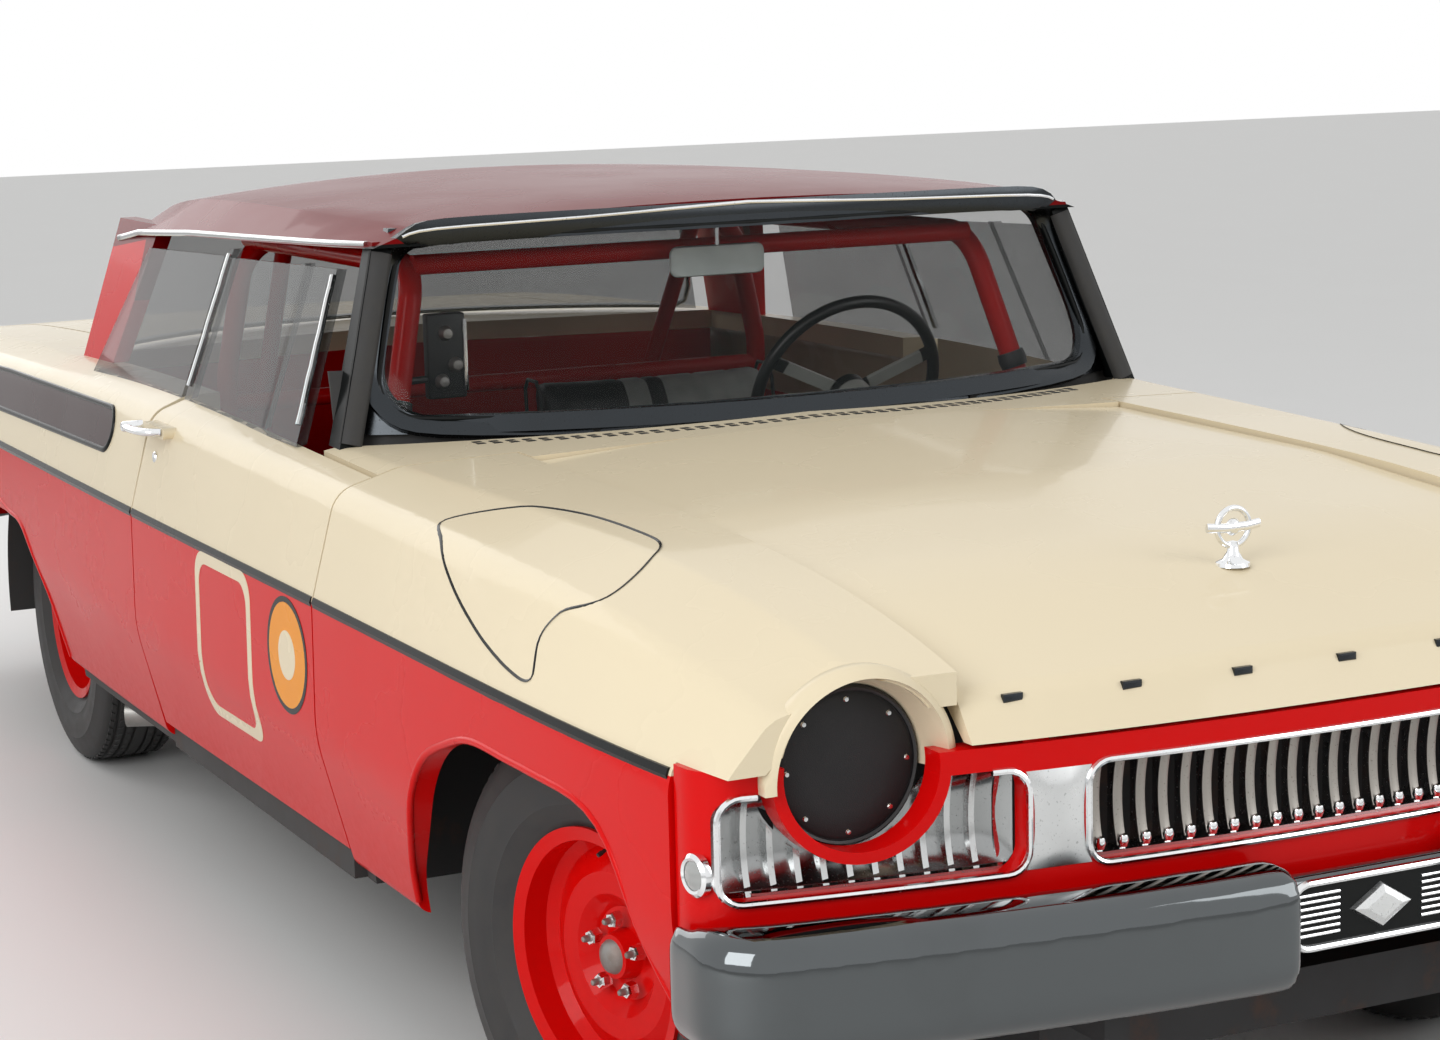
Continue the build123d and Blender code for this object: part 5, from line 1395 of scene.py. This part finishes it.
class STOCKCAR_OT_marks(CarPiece, bpy.types.Operator):
    """Lays the blank marks and small fittings on the panels"""

    bl_idname = "stockcar.marks"
    bl_label = "Marks and fittings"

    def build(self, scene):
        for side, name in SIDES:
            self.door_marks(scene.car_trim.panel_size / 2, side, name)
            self.fender_outline(side, name)
            self.scallop(side, name)
        self.hood_bars()
        self.ornament()
        self.cowl_vent(scene.car_trim.vent_slots)
        self.bumper_plate()

    def door_marks(self, half, side, name):
        """A blank ring and a blank oval on each door."""
        body = f"door_{name}"
        tree = surface_of(body)
        panel = [(0.50 + y, 0.628 + z) for y, z in rounded_window(half * 1.05, -half, half * 1.05, half, 0.05)]
        oval = [(0.872 + 0.108 * math.cos(a), 0.678 + 0.104 * math.sin(a)) for a in turns(56)]
        lay_film(f"door_panel_{name}", tree, side, panel, "cream", body, inner=0.86)
        lay_film(f"door_badge_edge_{name}", tree, side, oval, "black enamel", body, inner=0.90)
        lay_film(f"door_badge_{name}", tree, side, oval, "badge", body, scale=0.905)
        lay_film(f"door_badge_middle_{name}", tree, side, oval, "cream", body, scale=0.42, proud=0.0012)

    def fender_outline(self, side, name):
        """A plain outlined shape on each fender."""
        tree = surface_of(f"fender_{name}")
        loop = smooth_path([*FENDER_OUTLINE[-1:], *FENDER_OUTLINE, *FENDER_OUTLINE[:2]], 6)[6:-6]
        path = [tree.find_nearest(Vector((p.x, -side * p.y, p.z)))[0] for p in loop]
        line = sweep(path, round_section(0.0035, 6, 0.0007), True, (0, side, 1.2))
        add_piece(f"fender_outline_{name}", line, "black enamel")

    def scallop(self, side, name):
        """The long panel high on each quarter with its rim; the panel is a flat film whose dark red is painted shade of
        the recess.
        """
        tree = surface_of(f"quarter_{name}")
        front, rear, nose, tail = -0.40, -2.30, 0.048, 0.0288

        def edge(x, t):
            """The point at x, from the panel's lower edge, t -1, to its upper one, t 1."""
            low, high = (np.interp(x, (rear, -1.35, front), z) for z in ((0.868, 0.872, 0.886), (0.926, 0.960, 0.974)))
            round_in = math.sqrt(max(1 - max((x - front) / nose, (rear - x) / tail, 0.0) ** 2, 0.0))
            return on_side(tree, x, (low + high) / 2 + t * round_in * (high - low) / 2, side)

        quarter_turn = np.linspace(0, math.pi / 2, 8)
        line = [front + nose * math.cos(a) for a in quarter_turn]
        line += [*np.linspace(front, rear, 42)[1:-1], *(rear - tail * math.sin(a) for a in quarter_turn)]
        path = [edge(x, 1) for x in line] + [edge(x, -1) for x in reversed(line[:-1])][:-1]
        rim = sweep(path, round_section(0.0065, high=0.0050), True, (0, side, 0))
        add_piece(f"scallop_rim_{name}", rim, "black enamel")
        # A flat film stands for the recess; its dark colour is painted shade.
        rows = np.linspace(-0.96, 0.96, 7)
        verts = [edge(x, t) + Vector((0, side * 0.0008, 0)) for x in line[1:-1] for t in rows]
        film_piece(f"scallop_{name}", (verts, net(len(line) - 2, len(rows))), "scallop", "car", side)

    def hood_bars(self):
        """Seven plain dark bars along the hood's lip."""
        places = [(y, 0.868) for y in (-0.52, -0.345, -0.172, 0.0, 0.172, 0.345, 0.52)]
        shapes = [bar_shape(seat, 0.015, 0.0055, 0.005) for seat in front_hits(surface_of("hood"), places, start=3.0)]
        add_piece("hood_bars", joined(shapes), "dark trim", "hood")

    def ornament(self):
        """A plain ring on a short stalk, with a bar across it."""
        foot = on_top(surface_of("hood"), 2.28, 0.0)
        centre = foot + ABOVE * 0.056
        base = [(0.026, -0.001), (0.025, 0.004), (0.015, 0.009), (0.009, 0.020), (0.008, 0.034), (0.0, 0.036)]
        base = lathe(base, foot, ABOVE, 28)
        ring = [centre + Vector((0, 0.028 * math.cos(a), 0.028 * math.sin(a))) for a in turns(36)]
        ring = sweep(ring, round_section(0.0045, 8), True, AHEAD)
        bar = ((0, -0.046, 0.002), (0.004, -0.02, 0), (0.004, 0.02, 0), (0, 0.046, 0.002))
        bar = sweep([centre + Vector(p) for p in bar], round_section(0.004, 8, 0.007))
        hub = [(0.0, 0.008), (0.009, 0.006), (0.013, 0.0), (0.009, -0.006), (0.0, -0.008)]
        hub = lathe(hub, centre, AHEAD, 24)
        add_piece("hood_ornament", joined([base, ring, bar, hub]), "chrome", "hood", 50)

    def cowl_vent(self, slots):
        """Slots of the air inlet before the windshield, drawn as shallow black blocks that are painted shade of the
        openings.
        """
        tree = surface_of("cowl")
        shapes = []
        for row in (0, 0.020):
            for y in (-0.62 + 1.24 * i / (slots - 1) for i in range(slots)):
                seat = on_top(tree, 0.998 + row - 0.226 * (y / 0.80) ** 2, y)
                if seat is not None and seat.z >= 0.9:
                    slot = Vector((-0.0065, -0.008, -0.0015)), Vector((0.0065, 0.008, 0.0007))
                    shapes.append(box(*(seat + corner for corner in slot)))
        add_piece("cowl_slot_shades", joined(shapes), "black plastic")

    def bumper_plate(self):
        """A black plate of painted shade where the bumper's recess lies between its pods, with its frame, its ribs and
        a plain lozenge.
        """
        face = 2.6255
        outline = rounded_window(0.150, 0.489, 0.150, 0.581, 0.030, 6)
        n = len(outline)
        verts = [(face + lift, y, z) for lift in (-0.002, 0.0015) for y, z in outline]
        # A thin black plate on the bumper's face, painted shade of the recess.
        add_piece("bumper_recess_shade_plate", (verts, [cap(0, n), cap(1, n)] + net(2, n, round_columns=True)), "black enamel")
        ring = [(face + 0.002, y, z) for y, z in outline]
        add_piece("bumper_recess_frame", sweep(ring, round_section(0.0055, 8), True, AHEAD), "chrome")
        rib = sweep([(0, -0.034, 0), (0, 0.034, 0)], round_section(0.0022, 6))
        for side, name in SIDES:
            low = Matrix.Translation((face + 0.003, side * 0.104, 0.508))
            repeated(f"recess_ribs_{name}", rib, "chrome", "car", 7, (0.0, 0.0, 0.0094), low)
        plate = [(0.052, 0.0), (0.048, 0.008), (0.030, 0.013), (0.0, 0.014)]
        verts, faces = lathe(plate, (0, 0, 0), AHEAD, 4, ACROSS)
        placed = [(face + 0.001 + v.x, v.y, 0.535 + v.z * 0.62) for v in verts]
        add_piece("bumper_lozenge", (placed, faces), "satin", smooth=20)


def bar_shape(seat, half_width, half_height, depth):
    """A small bar with a bevelled face, standing on a forward surface."""
    verts = [
        seat + Vector((x, y * half_width * wide, z * half_height * high))
        for x, wide, high in ((-0.004, 1.0, 1.0), (depth * 0.6, 1.0, 1.0), (depth, 0.8, 0.6))
        for y, z in ((-1, -1), (1, -1), (1, 1), (-1, 1))
    ]
    return verts, [(0, 3, 2, 1), (8, 9, 10, 11), *net(3, 4, round_columns=True)]


def lay_film(name, tree, side, outline, finish, body, inner=None, scale=1.0, proud=0.0008):
    """A thin painted or plated mark on the car's side, whole or as a ring."""
    middle = np.mean(np.array(outline), axis=0)
    steps = [inner, (1 + inner) / 2, 1.0] if inner else [0.02, 0.25, 0.5, 0.75, 1.0]
    places = [middle + (np.array(point) - middle) * step * scale for step in steps for point in outline]
    verts = [on_side(tree, x, z, side, proud) for x, z in places]
    n = len(outline)
    faces = net(len(steps), n, round_columns=True) + ([] if inner else [cap(0, n)])
    film_piece(name, (verts, faces), finish, body, side)


def film_piece(name, shape, finish, body, side):
    """A film given a slight thickness inwards, its face turned out."""

    def face_out(work):
        turn_out(work)
        if sum(f.normal.y * f.calc_area() for f in work.faces) * side < 0:
            bmesh.ops.reverse_faces(work, faces=work.faces)

    film = modified(blank(name, shape, face_out), "SOLIDIFY", thickness=0.0009, offset=-1)
    finish_piece(film, finish, body, 30)


# Stage

ROOM_WALLS = 0.16
ROOM_CEILING = 0.80
LAMPS = (
    ("key_lamp", (4.2, -5.0, 3.4), 3.4, 175),
    ("fill_lamp", (5.5, 3.5, 3.0), 3.0, 75),
    ("rear_lamp", (-5.5, -2.0, 3.6), 4.5, 80),
)
EYE = (5.8489, -2.5523, 1.7755)
AZIMUTH, ELEVATION, ROLL = 154.21, -9.65, -1.42
FOCAL_PIXELS = 3019.7
IMAGE_WIDTH = 1440
SENSOR = 36


class STOCKCAR_OT_stage(CarPiece, bpy.types.Operator):
    """Sets the floor, the soft light and the camera"""

    bl_idname = "stockcar.stage"
    bl_label = "Stage"

    def build(self, scene):
        scene.view_settings.view_transform = "Standard"
        self.floor()
        self.world(scene)
        self.lights(scene)
        self.camera(scene)

    def floor(self):
        """A wide pale floor."""
        corners = [(-30, -30, 0), (30, -30, 0), (30, 30, 0), (-30, 30, 0)]
        floor = blank("floor_stage", (corners, [(0, 1, 2, 3)]))
        pale = Finish("pale floor", (0.80, 0.80, 0.79), 0.6)
        pale.set("Roughness", 0.55 + pale.noise(2.0) * 0.1)
        floor.data.materials.append(pale.material)

    def world(self, scene):
        """White for the camera, in metal and through glass; a room that lights the car from overhead."""
        scene.world = bpy.data.worlds.new("soft room")
        scene.world.use_nodes = True
        room = Tree(scene.world.node_tree)
        room.tree.nodes.clear()
        height = room.split(room.node("ShaderNodeTexCoord", out="Generated"))[2]
        level = height.ramp(0.22, 0.72, ROOM_WALLS, ROOM_CEILING)
        rays = ("Camera", "Glossy", "Transmission")
        camera, glossy, through = (room.node("ShaderNodeLightPath", out=f"Is {ray} Ray") for ray in rays)
        seen = camera.bigger(glossy).bigger(through)
        strength = room.node("ShaderNodeMix", {}, {"Factor": seen, "A": level, "B": 1.0})
        light = room.node("ShaderNodeBackground", {}, {"Color": (1, 1, 1, 1), "Strength": strength})
        room.node("ShaderNodeOutputWorld", {}, {"Surface": light})

    def lights(self, scene):
        """Three broad soft lamps."""
        for name, place, size, power in LAMPS:
            lamp = bpy.data.lights.new(name, "AREA")
            lamp.size = size
            lamp.energy = power
            item = bpy.data.objects.new(name, lamp)
            item.location = place
            item.rotation_euler = (Vector((0.6, 0, 0.7)) - Vector(place)).to_track_quat("-Z", "Y").to_euler()
            scene.collection.objects.link(item)

    def camera(self, scene):
        """The camera at the photograph's place, angle and focal length."""
        azimuth, elevation, roll = (math.radians(a) for a in (AZIMUTH, ELEVATION, ROLL))
        level = math.cos(elevation)
        ahead = Vector((math.cos(azimuth) * level, math.sin(azimuth) * level, math.sin(elevation)))
        across = ahead.cross(ABOVE).normalized()
        above = across.cross(ahead)
        right = across * math.cos(roll) + above * math.sin(roll)
        up = above * math.cos(roll) - across * math.sin(roll)
        lens = bpy.data.cameras.new("photo_camera")
        lens.sensor_width = SENSOR
        lens.lens = FOCAL_PIXELS / IMAGE_WIDTH * SENSOR
        camera = bpy.data.objects.new("photo_camera", lens)
        camera.matrix_world = placement(right, up, -ahead, EYE)
        scene.collection.objects.link(camera)
        scene.camera = camera


class STOCKCAR_PT_panel(bpy.types.Panel):
    """Lists the car's sizes, colours and building steps"""

    bl_label = "Stock car"
    bl_idname = "STOCKCAR_PT_panel"
    bl_space_type = "VIEW_3D"
    bl_region_type = "UI"
    bl_category = "Stock car"

    def draw(self, context):
        layout = self.layout
        for settings in SETTINGS:
            group = getattr(context.scene, settings)
            fields = layout.box()
            for key in group.bl_rna.properties.keys():
                if key not in ("rna_type", "name"):
                    fields.prop(group, key)
        for step in STEPS:
            layout.operator(step.bl_idname)


SETTINGS = {"car_paint": CarPaint, "car_trim": CarTrim, "car_wheels": CarWheels, "car_cabin": CarCabin}
STEPS = (
    STOCKCAR_OT_finishes,
    STOCKCAR_OT_stage,
    STOCKCAR_OT_panels,
    STOCKCAR_OT_glazing,
    STOCKCAR_OT_brightwork,
    STOCKCAR_OT_lamps,
    STOCKCAR_OT_wheels,
    STOCKCAR_OT_cabin,
    STOCKCAR_OT_running_gear,
    STOCKCAR_OT_marks,
)


def register():
    for group in (*SETTINGS.values(), *STEPS, STOCKCAR_PT_panel):
        bpy.utils.register_class(group)
    for key, group in SETTINGS.items():
        setattr(bpy.types.Scene, key, PointerProperty(type=group))


def unregister():
    for key in SETTINGS:
        delattr(bpy.types.Scene, key)
    for group in (STOCKCAR_PT_panel, *reversed(STEPS), *SETTINGS.values()):
        bpy.utils.unregister_class(group)


def main():
    register()
    for step in STEPS:
        family, verb = step.bl_idname.split(".")
        getattr(getattr(bpy.ops, family), verb)()


if __name__ == "__main__":
    main()
